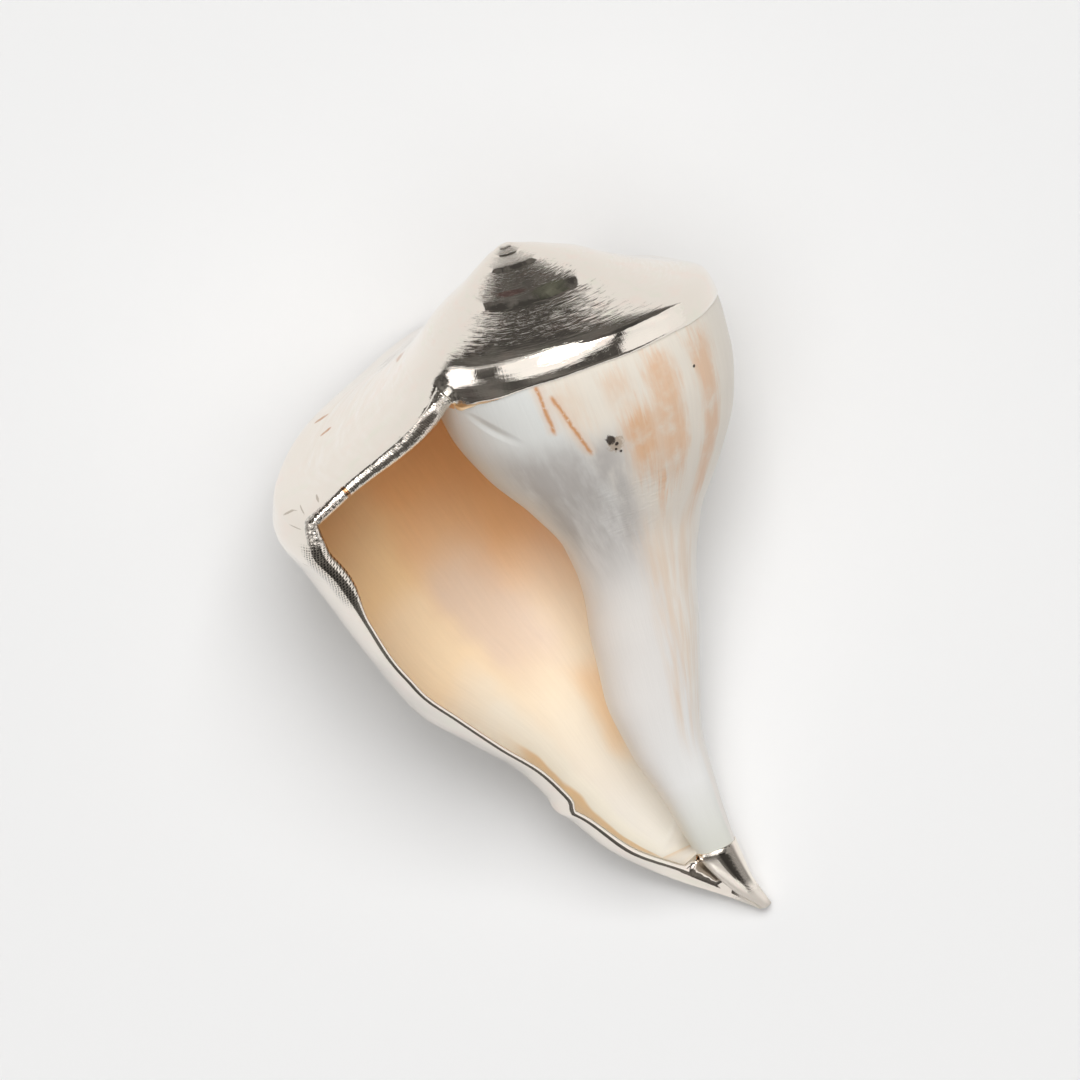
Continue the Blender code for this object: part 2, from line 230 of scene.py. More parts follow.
def ramp(angle, share):
    r0, z0 = side(angle - 360, attached(angle))
    r1, z1 = side(angle, 0)
    width = np.hypot(r1 - r0, z1 - z0)
    sag = curve(angle, SAG_ANGLES, SAGS) * width * 4 * share * (1 - share)
    r = r0 + (r1 - r0) * share - sag * (z1 - z0) / width
    z = z0 + (z1 - z0) * share + sag * (r1 - r0) / width
    return r, z


def place(angle, radius, depth):
    azimuth = np.radians(LIP_AZIMUTH + angle)
    bend = curve(depth, BEND_DEPTHS, BENDS)
    x = -radius * np.cos(azimuth) - bend
    z = radius * np.sin(azimuth)
    return np.stack(np.broadcast_arrays(x, -depth, z), -1)


print("canal tip at depth", float(side(0, 1)[1]), "mm")

# %% [markdown]
# ## Rows down a column
#
# The fine mesh is a sheet of columns, one for every two degrees of growth, wound round the
# axis. Close to the lip the columns lean back on the ramp, as a whelk's lip does. `lag` is
# that lean, and it dies out away from the lip.

# %% Rows
# degrees between columns, columns in a turn, and the last columns outside and inside
STEP = 2.0
TURN = 180
OLDEST = 900
DEEPEST = 145
RAMP_ROWS = 22
KEEL_ROWS = 4
RIM_ROWS = 8
SIDE_ROWS = 96
TIP_ROWS = 10
RAMP_LEAN_ENDS = 0.8
# height, pace and start of the waves along the plating's edge
EDGE_WAVES = ((0.0012, 0.21, 0), (0.0008, 0.53, 1))
SUTURE_ROW = RAMP_ROWS + KEEL_ROWS
EDGE_ROW = SUTURE_ROW + RIM_ROWS
FLOOR_ROW = EDGE_ROW + SIDE_ROWS


def lag(angle):
    return LIP_SWEEP * np.maximum(0.0, 1 - np.abs(angle) / LIP_SWEEP_REACH)


def between(first, last, count):
    """Evenly spaced stations from first to last, one row for each column."""
    first, last = np.broadcast_arrays(first, last)
    return first + (last - first) * np.linspace(0, 1, count + 1)


def ramp_rows(angle):
    """Angle, radius, depth and station down the ramp; stations run from -1 to 0."""
    share = between(0.0, np.ones_like(angle), RAMP_ROWS)
    leant = angle - lag(angle) * (1 - smooth(share, 0, RAMP_LEAN_ENDS))
    return np.stack([leant, *ramp(leant, share), share - 1], -1)


def side_rows(angle, stations):
    """The same down the side, where the whorl under the lip leans with it."""
    meets = ATTACH_STATIONS[-1]
    rise = smooth(stations, 0, meets) * (1 - smooth(stations, meets + LIP_ROOT, LEAN_ENDS))
    leant = angle - lag(angle + 360) * rise
    return np.stack([leant, *side(leant, stations), stations], -1)


def plating_edge(angle):
    """The station of the plating's lower edge, which wavers a little."""
    waver = sum(height * np.sin(angle * pace + start) for height, pace, start in EDGE_WAVES)
    return curve(angle, PLATING_EDGE_ANGLES, PLATING_EDGE_STATIONS) + waver


print("a column every", STEP, "degrees, with", FLOOR_ROW + TIP_ROWS + 1, "rows")

# %% [markdown]
# ## Four kinds of column
#
# The last whorl's columns run all the way to the canal's tip, the spire's stop at the
# suture, the core's follow the older whorl inside the mouth, and the inner ones line the
# hollow. Neighbours keep the same number of rows where they meet, so that faces can be
# woven between them.

# %% Columns
def hollow_floor(angle):
    return curve(angle, FLOOR_ANGLES, FLOOR_STATIONS)


def band_stations(angle):
    """From just under the keel to the plating's edge, with the lip's suture on its row."""
    edge = plating_edge(angle)
    suture = ATTACH_STATIONS[-1] / plating_edge(np.array(-360.0)) * edge
    above = between(0.0, suture, KEEL_ROWS)[:, 1:]
    return np.concatenate([above, between(suture, edge, RIM_ROWS)[:, 1:]], axis=1)


def outer_columns(angle):
    down = between(plating_edge(angle), FLOOR_STATIONS[-1], SIDE_ROWS)[:, 1:]
    tip = between(FLOOR_STATIONS[-1], np.ones_like(angle), TIP_ROWS)[:, 1:]
    stations = np.concatenate([band_stations(angle), down, tip], axis=1)
    return np.concatenate([ramp_rows(angle), side_rows(angle, stations)], axis=1)


def spire_columns(angle):
    stations = between(0.0, attached(angle + 360), KEEL_ROWS)[:, 1:]
    return np.concatenate([ramp_rows(angle), side_rows(angle, stations)], axis=1)


def root(angle):
    """The station taken up by the wall's foot, which flares towards the lip."""
    return LIP_ROOT + (ROOT - LIP_ROOT) * smooth(-angle, 0, LIP_ROOT_REACH)


def core_columns(angle):
    """The older whorl's wall, inside the mouth."""
    stations = between(attached(angle) + root(angle), hollow_floor(angle), SIDE_ROWS)
    return side_rows(angle - 360, stations)


def inner_columns(angle):
    """The hollow's face: the outside, set in by the wall's thickness."""
    down = between(plating_edge(angle), hollow_floor(angle), SIDE_ROWS)[:, 1:]
    stations = np.concatenate([band_stations(angle), down], axis=1)
    rows = np.concatenate([ramp_rows(angle), side_rows(angle, stations)], axis=1)
    lip_wall = curve(rows[..., 3], LIP_WALL_STATIONS, LIP_WALLS)
    wall = lip_wall + (WALL - lip_wall) * smooth(-angle, 0, WALL_GROWS_OVER)
    profile = rows[..., 1:3]
    along = np.gradient(profile, axis=1)
    along /= np.linalg.norm(along, axis=2, keepdims=True)
    radius = profile[..., 0] - wall * along[..., 1]
    depth = profile[..., 1] + wall * along[..., 0]
    return np.stack([rows[..., 0], radius, depth, rows[..., 3]], -1)


def angles(first, last):
    """Growth angles of the columns first to last, as a column vector."""
    return -STEP * np.arange(first, last + 1, dtype=float)[:, None]


OUTSIDE = outer_columns(angles(0, TURN))
SPIRE = spire_columns(angles(TURN + 1, OLDEST))
CORE = core_columns(angles(0, DEEPEST))
INSIDE = inner_columns(angles(0, DEEPEST))
print("rows in a column:", OUTSIDE.shape[1], "outside,", INSIDE.shape[1], "inside")

# %% [markdown]
# ## Weaving the columns into one closed mesh
#
# Neighbouring columns share their points, so the mesh has no seams to hide. The outside
# runs from the lip back to the apex. Past the lip the same surface goes on as the wall of
# the older whorl, inside the mouth, and turns back at the hollow's end as the inner face.
# A rounded rim joins that face to the outside. So one skin covers the whole shell.
#
# Points are collected in a list of arrays and faces as lists of their numbers, and the
# mesh is made once, at the end, which is far quicker than adding faces one at a time.

# %% A loom
class Loom:
    """Collects points with their growth values, and the faces between them."""

    def __init__(self):
        self.rows = []
        self.faces = []
        self.marks = []
        self.count = 0

    def points(self, rows, inside):
        """Adds rows of (angle, radius, depth, station) and returns their numbers."""
        rows = np.atleast_2d(rows)
        inside = np.full((len(rows), 1), float(inside))
        self.rows.append(np.concatenate([rows, inside], axis=1))
        ids = np.arange(self.count, self.count + len(rows))
        self.count += len(rows)
        return ids

    def strip(self, left, right, mark):
        """Faces between two columns of equal length."""
        quads = np.stack([left[:-1], right[:-1], right[1:], left[1:]], -1)
        self.faces += quads.tolist()
        self.marks += [mark] * len(quads)

    def face(self, corners, mark):
        self.faces.append([int(c) for c in corners])
        self.marks.append(mark)


print("loom ready")

# %% [markdown]
# ## Points of the shell
#
# Columns are laid from the apex down to the lip. Each starts on a point of the whorl a full
# turn older, where the suture is, so the two whorls share that row. The lip's rim needs a
# few columns of its own, bulged forward in a half round.

# %% Lay the points
RIM_ROUNDNESS = 0.9
RIM_SWELLS_OVER = 6
RIM_LEAST_RADIUS = 8.0


def lay_points(loom):
    """The numbers of the points down each column: outside, core and inside."""
    apex = loom.points([(-STEP * OLDEST, 0, 0, -1)], 0)[0]
    outer = [None] * (OLDEST + 1)
    for i in range(OLDEST, -1, -1):
        rows = SPIRE[i - TURN - 1] if i > TURN else OUTSIDE[i]
        start = outer[i + TURN][SUTURE_ROW] if i + TURN <= OLDEST else apex
        outer[i] = np.concatenate([[start], loom.points(rows[1:], 0)])
    core = [outer[TURN][EDGE_ROW:FLOOR_ROW + 1]]
    inner = []
    for i in range(DEEPEST + 1):
        if i:
            core.append(loom.points(CORE[i], 1))
        inner.append(np.concatenate([[core[i][0]], loom.points(INSIDE[i][1:], 1)]))
    return outer, core, inner


def rim_columns(loom, outer, inner):
    """Columns across the lip's edge, in a half round between its two faces."""
    rows = np.concatenate(loom.rows)[:, :4]
    a, b = rows[outer], rows[inner]
    half = np.hypot(*(b - a)[:, 1:3].T) / 2
    swell = RIM_ROUNDNESS * half * smooth(np.arange(len(a)), 0, RIM_SWELLS_OVER)
    across = []
    for k in range(1, RIM_ROWS):
        way = math.pi * k / RIM_ROWS
        t = (1 - math.cos(way)) / 2
        row = a * (1 - t) + b * t
        forward = swell * math.sin(way)
        row[:, 0] += np.degrees(forward / np.maximum(row[:, 1], RIM_LEAST_RADIUS))
        across.append(row)
    return across


LOOM = Loom()
OUTER, MOUTH_CORE, INNER = lay_points(LOOM)
print("laid:", LOOM.count, "points in", len(OUTER) + len(MOUTH_CORE) + len(INNER), "columns")

# %% [markdown]
# ## Faces of the shell
#
# Every face is marked as bare shell or as plated. Plated are the spire and the shoulder
# down to the silver's edge, the last few columns before the lip, the rim, and the canal's
# tip. At the lower lip the silver folds a little way into the mouth.

# %% Weave the faces
SHELL, PLATED = 0, 1
BAND_COLUMNS = 25
FOLD_STATION = 0.74
FOLD_COLUMNS = 3
ON_RIM = 0.5


def weave_outside(loom, outer):
    first_turn = OLDEST - TURN
    for i in range(OLDEST):
        bottom = SUTURE_ROW if i >= TURN else len(outer[0]) - 1
        for row in range(1 if i == first_turn else 0, bottom):
            left, right = outer[i], outer[i + 1]
            corners = [left[row], right[row], right[row + 1], left[row + 1]]
            if corners[0] == corners[1]:
                corners = corners[1:]
            plated = row < EDGE_ROW or row >= FLOOR_ROW or i < BAND_COLUMNS
            loom.face(corners, PLATED if plated else SHELL)
    loom.face([*outer[OLDEST], outer[first_turn][1], outer[first_turn + 1][1]], PLATED)


def weave_rim(loom, outer, inner):
    """The lip's rounded rim, whose top ends on the older whorl's own points."""
    rim = [outer[0][:FLOOR_ROW + 1]]
    for k, rows in enumerate(rim_columns(loom, rim[0], inner[0]), 1):
        shared = outer[TURN][SUTURE_ROW + k]
        rim.append(np.concatenate([[shared], loom.points(rows[1:], ON_RIM)]))
    rim.append(inner[0])
    for left, right in zip(rim, rim[1:]):
        loom.strip(left, right, PLATED)
    foot = [column[-1] for column in rim]
    older = outer[TURN][FLOOR_ROW:FLOOR_ROW + 2]
    loom.face([*foot, *older, outer[0][FLOOR_ROW + 1]], PLATED)


weave_outside(LOOM, OUTER)
weave_rim(LOOM, OUTER, INNER)
print("woven so far:", len(LOOM.faces), "faces")

# %% [markdown]
# ## The tip and the mouth
#
# The canal is open along its length, and its two sides meet only at the tip, where all
# columns end in one point. Inside the mouth, strips join core to core and lining to lining,
# and the hollow's end is closed far back, out of sight.

# %% Close the tip and the mouth
def weave_tip(loom, outer):
    """The canal's tip, where the lip and the older whorl join and end in one point."""
    loom.strip(outer[0][FLOOR_ROW + 1:], outer[TURN][FLOOR_ROW + 1:], PLATED)
    tip = loom.points([(0, 0, LENGTH + TIP_RADIUS / 2, 1)], 0)[0]
    for i in range(TURN):
        loom.face([outer[i][-1], outer[i + 1][-1], tip], PLATED)
    loom.face([outer[0][-1], outer[TURN][-1], tip], PLATED)


def weave_mouth(loom, core, inner):
    fold_row = int(np.searchsorted(INSIDE[0][:, 3], FOLD_STATION))
    for i in range(DEEPEST):
        loom.strip(core[i], core[i + 1], SHELL)
        loom.strip(inner[i][:fold_row + 1], inner[i + 1][:fold_row + 1], SHELL)
        folded = PLATED if i < FOLD_COLUMNS else SHELL
        loom.strip(inner[i][fold_row:], inner[i + 1][fold_row:], folded)
        loom.face([core[i][-1], inner[i][-1], inner[i + 1][-1], core[i + 1][-1]], SHELL)
    loom.face([*inner[DEEPEST][:EDGE_ROW + 1]], SHELL)
    loom.strip(core[DEEPEST], inner[DEEPEST][EDGE_ROW:], SHELL)


weave_tip(LOOM, OUTER)
weave_mouth(LOOM, MOUTH_CORE, INNER)
print("woven:", LOOM.count, "points,", len(LOOM.faces), "faces")

# %% [markdown]
# ## From growth to the room
#
# The shell now lies down: its axis is tipped so that the apex end is raised, and it is
# moved to where the solid lies. The solid was built from these same columns, only fewer of
# them, so its box tells the move exactly: the coarse columns are placed here in the same
# way, and their lowest corner is set on the solid's.

# %% Lay the shell down
def laid_down(points):
    """Turns points in the shell's own frame, in millimetres, as the shell lies."""
    tilt = np.array(Matrix.Rotation(math.radians(TILT), 3, "X"))
    return points @ tilt.T


COARSE_STEP = 10
COARSE_BAND, COARSE_ROWS = 2, 12
COARSE_TIP = (0.94, 0.98, 1)


def coarse_outside():
    """The points that the solid's outside has, down its last whorl."""
    angle = -COARSE_STEP * np.arange(360 // COARSE_STEP + 1, dtype=float)[:, None]
    edge = curve(angle, PLATING_EDGE_ANGLES, PLATING_EDGE_STATIONS)
    suture = ATTACH_STATIONS[-1] * edge / PLATING_EDGE_STATIONS[0]
    above = between(0.0, suture, COARSE_BAND)
    down = between(edge, FLOOR_STATIONS[-1], COARSE_ROWS)
    tip = np.broadcast_to(COARSE_TIP, (len(angle), len(COARSE_TIP)))
    rows = side_rows(angle, np.concatenate([above, down, tip], axis=1)).reshape(-1, 4)
    ends = [(0, 0, 0, 0), (0, 0, LENGTH + TIP_RADIUS / 2, 1)]
    rows = np.concatenate([rows, ends])
    return laid_down(place(rows[:, 0], rows[:, 1], rows[:, 2]))


low, high = (np.array(corner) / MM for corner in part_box("whelk_shell"))
coarse = coarse_outside()
MOVE = low - coarse.min(axis=0)
print("moved by", MOVE.round(3), "mm; sizes differ by",
      (coarse.max(axis=0) + MOVE - high).round(3), "mm")

# %% [markdown]
# ## The fine mesh
#
# Points and faces become a Blender mesh. Each face's corner also keeps three numbers for
# the finishes: how many turns before the lip it grew, its station, and whether it is inside
# the mouth. A material reads them with an Attribute node, so a tan flame can start at one
# growth line and end at another, whatever way the shell is turned. They sit on corners,
# not points, because at a suture two whorls a full turn apart share their points.

# %% Mesh helpers
def make_mesh(name, points, faces):
    mesh = bpy.data.meshes.new(name)
    mesh.from_pydata((points * MM).tolist(), [], faces)
    mesh.validate()
    return mesh


def add_growth(mesh, turns, station, inside):
    """Growth values at the faces' corners, each counted in the face's own whorl."""
    corners = np.empty(len(mesh.loops), int)
    mesh.loops.foreach_get("vertex_index", corners)
    starts = np.empty(len(mesh.polygons), int)
    mesh.polygons.foreach_get("loop_start", starts)
    sizes = np.diff(np.append(starts, len(corners)))
    turns, station, inside = turns[corners], station[corners], inside[corners]
    youngest = np.repeat(np.maximum.reduceat(turns, starts), sizes)
    top = np.repeat(np.minimum.reduceat(station, starts), sizes)
    older = turns < youngest - 0.5
    turns = np.where(older, turns + 1, turns)
    station = np.where(older & (top < 0), -1, station)
    for name, values in (("turns", turns), ("station", station), ("inside", inside)):
        layer = mesh.attributes.new(name, "FLOAT", "CORNER")
        layer.data.foreach_set("value", values.astype(np.float32))


def vectors_of(items, what):
    """One vector for each item of a mesh, as rows of an array."""
    values = np.empty(len(items) * 3, np.float32)
    items.foreach_get(what, values)
    return values.reshape(-1, 3).astype(float)


def add_piece(name, mesh, node):
    """Puts a mesh in the scene in place of the part's solid whose name is node."""
    mesh.shade_smooth()
    piece = bpy.data.objects.new(name, mesh)
    bpy.context.scene.collection.objects.link(piece)
    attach(piece, "root")
    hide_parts(node)
    print(name, "has", len(mesh.vertices), "points")
    return piece


GROWN = np.concatenate(LOOM.rows)
TURNS, STATION, INSIDE_MOUTH = GROWN[:, 0] / 360, GROWN[:, 3], GROWN[:, 4]
POINTS = laid_down(place(GROWN[:, 0], GROWN[:, 1], GROWN[:, 2])) + MOVE
print("placed", len(POINTS), "points")

# %% [markdown]
# ## A callus at the top of the lip, a foot at the canal's end
#
# Where the lip meets the older whorl, a whelk lays down a thick pad. It fills the corner
# between the two, so that the lip's edge runs smoothly up on to the keel. Here it's a low
# swelling: points near that corner rise by an amount that fades out all round. The
# columella ends in a second one, long and narrow, that makes the canal's tip blunt.

# %% Raise the callus and the foot
CALLUS_ANGLE = -362.0
CALLUS_STATION = 0.03
CALLUS_HEIGHT = 4.5
CALLUS_WIDTH = 6.5
CALLUS_REACHES_DOWN = 12.0
FOOT_ENDS = ((-333, 0.9065), (-321, 0.956))
FOOT_HEIGHT = 1.5
FOOT_WIDTHS = (0.5, 0.95)
FOOT_SHIFT = -0.5
FOOT_REACHES_DOWN = 4.0
# shares of its length over which the foot rises and dies out
FOOT_RISES, FOOT_FALLS = (-0.4, 0.2), (1.0, 1.6)


def callus(points):
    """Heights to add, by the distance on the floor plan from the callus's middle."""
    heart = laid_down(place(CALLUS_ANGLE, *side(CALLUS_ANGLE, CALLUS_STATION))) + MOVE
    away = np.linalg.norm((points - heart)[:, :2], axis=1) / CALLUS_WIDTH
    swelling = CALLUS_HEIGHT * np.exp(-away * away)
    return np.where(points[:, 2] > heart[2] - CALLUS_REACHES_DOWN, swelling, 0)


def columella_foot(points):
    """Heights to add along the end of the columella, where it widens into a blunt foot."""
    ends = [laid_down(place(angle, *side(angle, station))) + MOVE for angle, station in FOOT_ENDS]
    along = (ends[1] - ends[0])[:2]
    length = np.linalg.norm(along)
    along = along / length
    offset = points[:, :2] - ends[0][:2]
    share = offset @ along / length
    width = curve(np.clip(share, 0, 1), (0, 1), FOOT_WIDTHS)
    away = (offset @ np.array([-along[1], along[0]]) - FOOT_SHIFT) / width
    swelling = FOOT_HEIGHT * np.exp(-away * away) * smooth(share, *FOOT_RISES)
    swelling = swelling * (1 - smooth(share, *FOOT_FALLS))
    return np.where(points[:, 2] > ends[1][2] - FOOT_REACHES_DOWN, swelling, 0)


RAISED = callus(POINTS) + columella_foot(POINTS)
POINTS[:, 2] += RAISED
print("raised by up to", RAISED.max().round(2), "mm")

# %% [markdown]
# ## Rounding the edges
#
# The formulas leave a hard ridge along the keel and a groove at the suture. On the real
# shell both are rounded, and under the polished metal they are rounder still. Many
# rounds of averaging each point with its neighbours melt them. A weight for each point says
# how much it may move, so the smoothing stays near those lines and spares the rest.

# %% Soften the keel and the suture
KEEL_SOFT_WIDTH = 3.6
SUTURE_SOFT_AGES = (-900, -480, -250, -150, 0)
SUTURE_SOFT_WIDTHS = (7.0, 6.5, 6.0, 3.0, 3.0)
SOFT_AGES = (-760, -384, -230, -150, 0)
SOFT_SHARES = (0.6, 0.35, 0.35, 0.14, 0.1)
SOFT_ROUNDS = 180
SOFTEST = 0.5
# a ramp's width for each millimetre of the keel's radius, and a distance beyond all reach
RAMP_WIDTH, FAR = 0.62, 99
# from here back a side starts under a suture; near the lip that suture is kept crisp
UNDER_SUTURE = -280
CRISP_FROM, CRISP_WIDTH = -372, 2.0


def neighbour_pairs(faces):
    pairs = np.concatenate([np.stack([face, np.roll(face, -1)], 1) for face in faces])
    return np.unique(np.sort(pairs, axis=1), axis=0)


def softened(points, pairs, weights, rounds):
    a, b = pairs.T
    size = len(points)
    count = np.bincount(a, minlength=size) + np.bincount(b, minlength=size)
    for _ in range(rounds):
        sums = [np.bincount(a, points[b, k], size) + np.bincount(b, points[a, k], size)
                for k in range(3)]
        points = points + weights[:, None] * (np.stack(sums, 1) / count[:, None] - points)
    return points


def softness():
    """How much each point may move: 1 on the keel of the front, 0 inside the mouth."""
    angle = TURNS * 360
    radius, depth = keel(angle)
    slant = RAMP_WIDTH * radius
    from_keel = np.where(STATION < 0, -STATION * slant, STATION * (LENGTH - depth))
    from_suture = np.where(STATION < 0, (1 + STATION) * slant, FAR)
    below_suture = (angle < UNDER_SUTURE) & (STATION >= 0)
    from_suture = np.where(below_suture, from_keel, from_suture)
    on_keel = np.exp(-(from_keel / KEEL_SOFT_WIDTH) ** 2)
    on_keel = on_keel * curve(angle, SOFT_AGES, SOFT_SHARES)
    width = curve(angle, SUTURE_SOFT_AGES, SUTURE_SOFT_WIDTHS)
    width = np.where(below_suture & (angle > CRISP_FROM), CRISP_WIDTH, width)
    on_suture = np.exp(-(from_suture / width) ** 2)
    return np.where(INSIDE_MOUTH > ON_RIM, 0, np.maximum(on_keel, on_suture)) * SOFTEST


SOFT = softened(POINTS, neighbour_pairs(LOOM.faces), softness(), SOFT_ROUNDS)
moved = np.linalg.norm(SOFT - POINTS, axis=1)
print("softening moved points by up to", moved.max().round(2), "mm")

# %% [markdown]
# ## The shell's fine surface
#
# The faces were woven without a thought for which side is out, and a material, or a lift
# along the normals, needs all of them to agree. So the mesh is turned the right way out
# before it takes the solid's place.

# %% The shell's fine surface
shell_mesh = make_mesh("shell_surface", SOFT, LOOM.faces)
outwards = bmesh.new()
outwards.from_mesh(shell_mesh)
bmesh.ops.recalc_face_normals(outwards, faces=outwards.faces)
outwards.to_mesh(shell_mesh)
outwards.free()
add_growth(shell_mesh, TURNS, STATION, INSIDE_MOUTH)
shell = add_piece("shell_surface", shell_mesh, "whelk_shell")

# %% [markdown]
# ## The silver skin
#
# The plating follows the shell everywhere, so it is made from the shell's own faces: those
# marked as plated are copied, lifted off along their normals, and given an underside and
# an edge. Near a sharp corner a normal has to be longer, so that the skin keeps its
# thickness on both faces.

# %% Lift the plating off the shell
# how far the skin's two faces stand off the shell, in millimetres
UNDER, OVER = 0.02, 0.27
LEAST_LEAN = 0.75


def lift_ways(mesh):
    """For each point the way out, so long that its faces move by one unit."""
    normals = vectors_of(mesh.vertex_normals, "vector")
    leans, counts = np.zeros((2, len(mesh.vertices)))
    for polygon in mesh.polygons:
        ids = list(polygon.vertices)
        leans[ids] += normals[ids] @ np.array(polygon.normal)
        counts[ids] += 1
    return normals / np.maximum(leans / counts, LEAST_LEAN)[:, None]


def plated_faces(mesh):
    """The shell's plated faces, as tuples of point numbers wound outwards."""
    wanted = {frozenset(f) for f, mark in zip(LOOM.faces, LOOM.marks) if mark == PLATED}
    return [tuple(p.vertices) for p in mesh.polygons if frozenset(p.vertices) in wanted]


def skin(mesh):
    points = vectors_of(mesh.vertices, "co") / MM
    faces = plated_faces(mesh)
    used = sorted({v for face in faces for v in face})
    number = {v: i for i, v in enumerate(used)}
    ways = lift_ways(mesh)[used]
    over = points[used] + ways * OVER
    under = points[used] + ways * UNDER
    count = len(used)
    tops = [[number[v] for v in face] for face in faces]
    bottoms = [[number[v] + count for v in reversed(face)] for face in faces]
    edges = dict.fromkeys(pair for face in tops for pair in zip(face, face[1:] + face[:1]))
    rims = [(b, a, a + count, b + count) for a, b in edges if (b, a) not in edges]
    both = np.concatenate([over, under])
    both[:, 2] = np.maximum(both[:, 2], 0)
    made = make_mesh("silver_skin", both, tops + bottoms + rims)
    add_growth(made, *(np.tile(values[used], 2) for values in (TURNS, STATION, INSIDE_MOUTH)))
    return made


silver = add_piece("silver_skin", skin(shell_mesh), "silver_plating")

# %% [markdown]
# ## Finishes: helpers for shader nodes
#
# The materials are made from a few kinds of node over and over. Small helpers keep that
# short: each one adds a node, sets its numbers, joins what is already a socket, and hands
# back the socket to go on with. A socket knows its node tree, so a helper needn't be told.
# These first ones do sums with numbers.

# %% Helpers for numbers
def fill(socket, value):
    """Joins another node's socket to this one, or writes a plain value into it."""
    if isinstance(value, bpy.types.NodeSocket):
        socket.id_data.links.new(value, socket)
    else:
        socket.default_value = value


def tree_of(*values):
    """The node tree that a helper works in: the one of the first socket it is given."""
    return next(v.id_data for v in values if isinstance(v, bpy.types.NodeSocket))


def node(tree, kind, inputs=None, **settings):
    made = tree.nodes.new("ShaderNode" + kind)
    for name, value in settings.items():
        setattr(made, name, value)
    for name, value in (inputs or {}).items():
        fill(made.inputs[name], value)
    return made


def maths(operation, a, b=0.0):
    return node(tree_of(a, b), "Math", {0: a, 1: b}, operation=operation).outputs[0]


def in_a_row(operation):
    """A helper that takes any number of values through one operation."""
    def helper(first, *others):
        for other in others:
            first = maths(operation, first, other)
        return first
    return helper


plus, times, highest = (in_a_row(name) for name in ("ADD", "MULTIPLY", "MAXIMUM"))


def inverse(value):
    return maths("SUBTRACT", 1.0, value)


def step(value, low, high):
    """0 below low, 1 above high, and a soft step between."""
    ends = {"Value": value, "From Min": low, "From Max": high}
    return node(tree_of(value), "MapRange", ends, interpolation_type="SMOOTHSTEP").outputs[0]


def window(value, opens, full, closes, shut):
    """Rises from opens to full, and falls from closes to shut."""
    return times(step(value, opens, full), inverse(step(value, closes, shut)))


def patch(turns, station, in_turns, in_station):
    """A window in turns and one in station: a soft patch on the shell."""
    return times(window(turns, *in_turns), window(station, *in_station))


def mixed_value(share, at_none, at_full):
    return plus(times(share, at_full - at_none), at_none)


print("helpers for numbers are ready")

# %% [markdown]
# ## Helpers for colours and patterns
#
# Paint is laid on in coats, so `mixed` puts one colour over another by a mask. Patterns
# come from noise: `noise` runs from 0 to 1, and `swing` is the same about zero, for bending
# an edge both ways.

# %% Helpers for colours and patterns
def rgba(colour):
    return colour if isinstance(colour, bpy.types.NodeSocket) else (*colour, 1)


def mixed(share, below, above):
    """One colour laid over another, by a share from 0 to 1."""
    inputs = {0: share, 6: rgba(below), 7: rgba(above)}
    return node(tree_of(share), "Mix", inputs, data_type="RGBA").outputs[2]


def ramp_of(value, stops):
    """Colours at places from 0 to 1 along a value."""
    made = node(tree_of(value), "ValToRGB", {0: value})
    elements = made.color_ramp.elements
    while len(elements) < len(stops):
        elements.new(1.0)
    for element, (place_at, colour) in zip(elements, stops):
        element.position = place_at
        element.color = rgba(colour)
    return made.outputs[0]


def vector_maths(operation, a, b=(0, 0, 0)):
    return node(tree_of(a, b), "VectorMath", {0: a, 1: b}, operation=operation).outputs[0]


def scaled(vector, amount):
    inputs = {0: vector, "Scale": amount}
    return node(tree_of(vector), "VectorMath", inputs, operation="SCALE").outputs[0]


def stretched(vector, across, along):
    """Growth coordinates made longer or shorter before they go into a noise."""
    return vector_maths("MULTIPLY", vector, (across, along, 1))


def source(near, kind, output):
    """What a node without inputs gives, in the tree of a socket near it."""
    return node(tree_of(near), kind).outputs[output]


def noise(vector, scale, detail=3.0, roughness=0.55):
    numbers = {"Vector": vector, "Scale": scale, "Detail": detail, "Roughness": roughness}
    return node(tree_of(vector), "TexNoise", numbers).outputs["Fac"]


def swing(*numbers):
    """The same noise, but from -0.5 to 0.5."""
    return maths("SUBTRACT", noise(*numbers), 0.5)


def bump_of(height):
    """A normal from heights in millimetres."""
    inputs = {"Strength": 1.0, "Distance": MM, "Height": height}
    return node(tree_of(height), "Bump", inputs).outputs[0]


print("helpers for colours and patterns are ready")

# %% [markdown]
# ## Helpers for groups and materials
#
# A node group is a small machine that is made once and used by both materials. `new_group`
# makes an empty one, and `use` puts it to work.

# %% Helpers for groups and materials
def new_group(name, inputs, outputs):
    """An empty node group with named sockets, its input node and its output node."""
    tree = bpy.data.node_groups.new(name, "ShaderNodeTree")
    for way, sockets in (("INPUT", inputs), ("OUTPUT", outputs)):
        for label, kind in sockets.items():
            tree.interface.new_socket(label, in_out=way, socket_type="NodeSocket" + kind)
    return tree, tree.nodes.new("NodeGroupInput"), tree.nodes.new("NodeGroupOutput")


def use(tree, group, **inputs):
    """Adds a group to a tree, sets its inputs and gives back its outputs."""
    made = tree.nodes.new("ShaderNodeGroup")
    made.node_tree = group
    for name, value in inputs.items():
        fill(made.inputs[name], value)
    return made.outputs


def finish_of(name):
    """A new material, its node tree and its main shader."""
    made = bpy.data.materials.new(name)
    made.use_nodes = True
    return made, made.node_tree, made.node_tree.nodes["Principled BSDF"]


print("helpers for groups and materials are ready")

# %% [markdown]
# ## Where on the shell? Three groups that both finishes use
#
# `growth` reads the numbers kept with each point: turns, station and inside. It also makes
# a flat map of the shell in millimetres, on which a noise can be stretched along or across
# the growth lines. `spot` is a soft oval at one place on that map, with a ragged rim.
# `growth_grain` is the fine relief of growth lines, and of the threads that cross them.

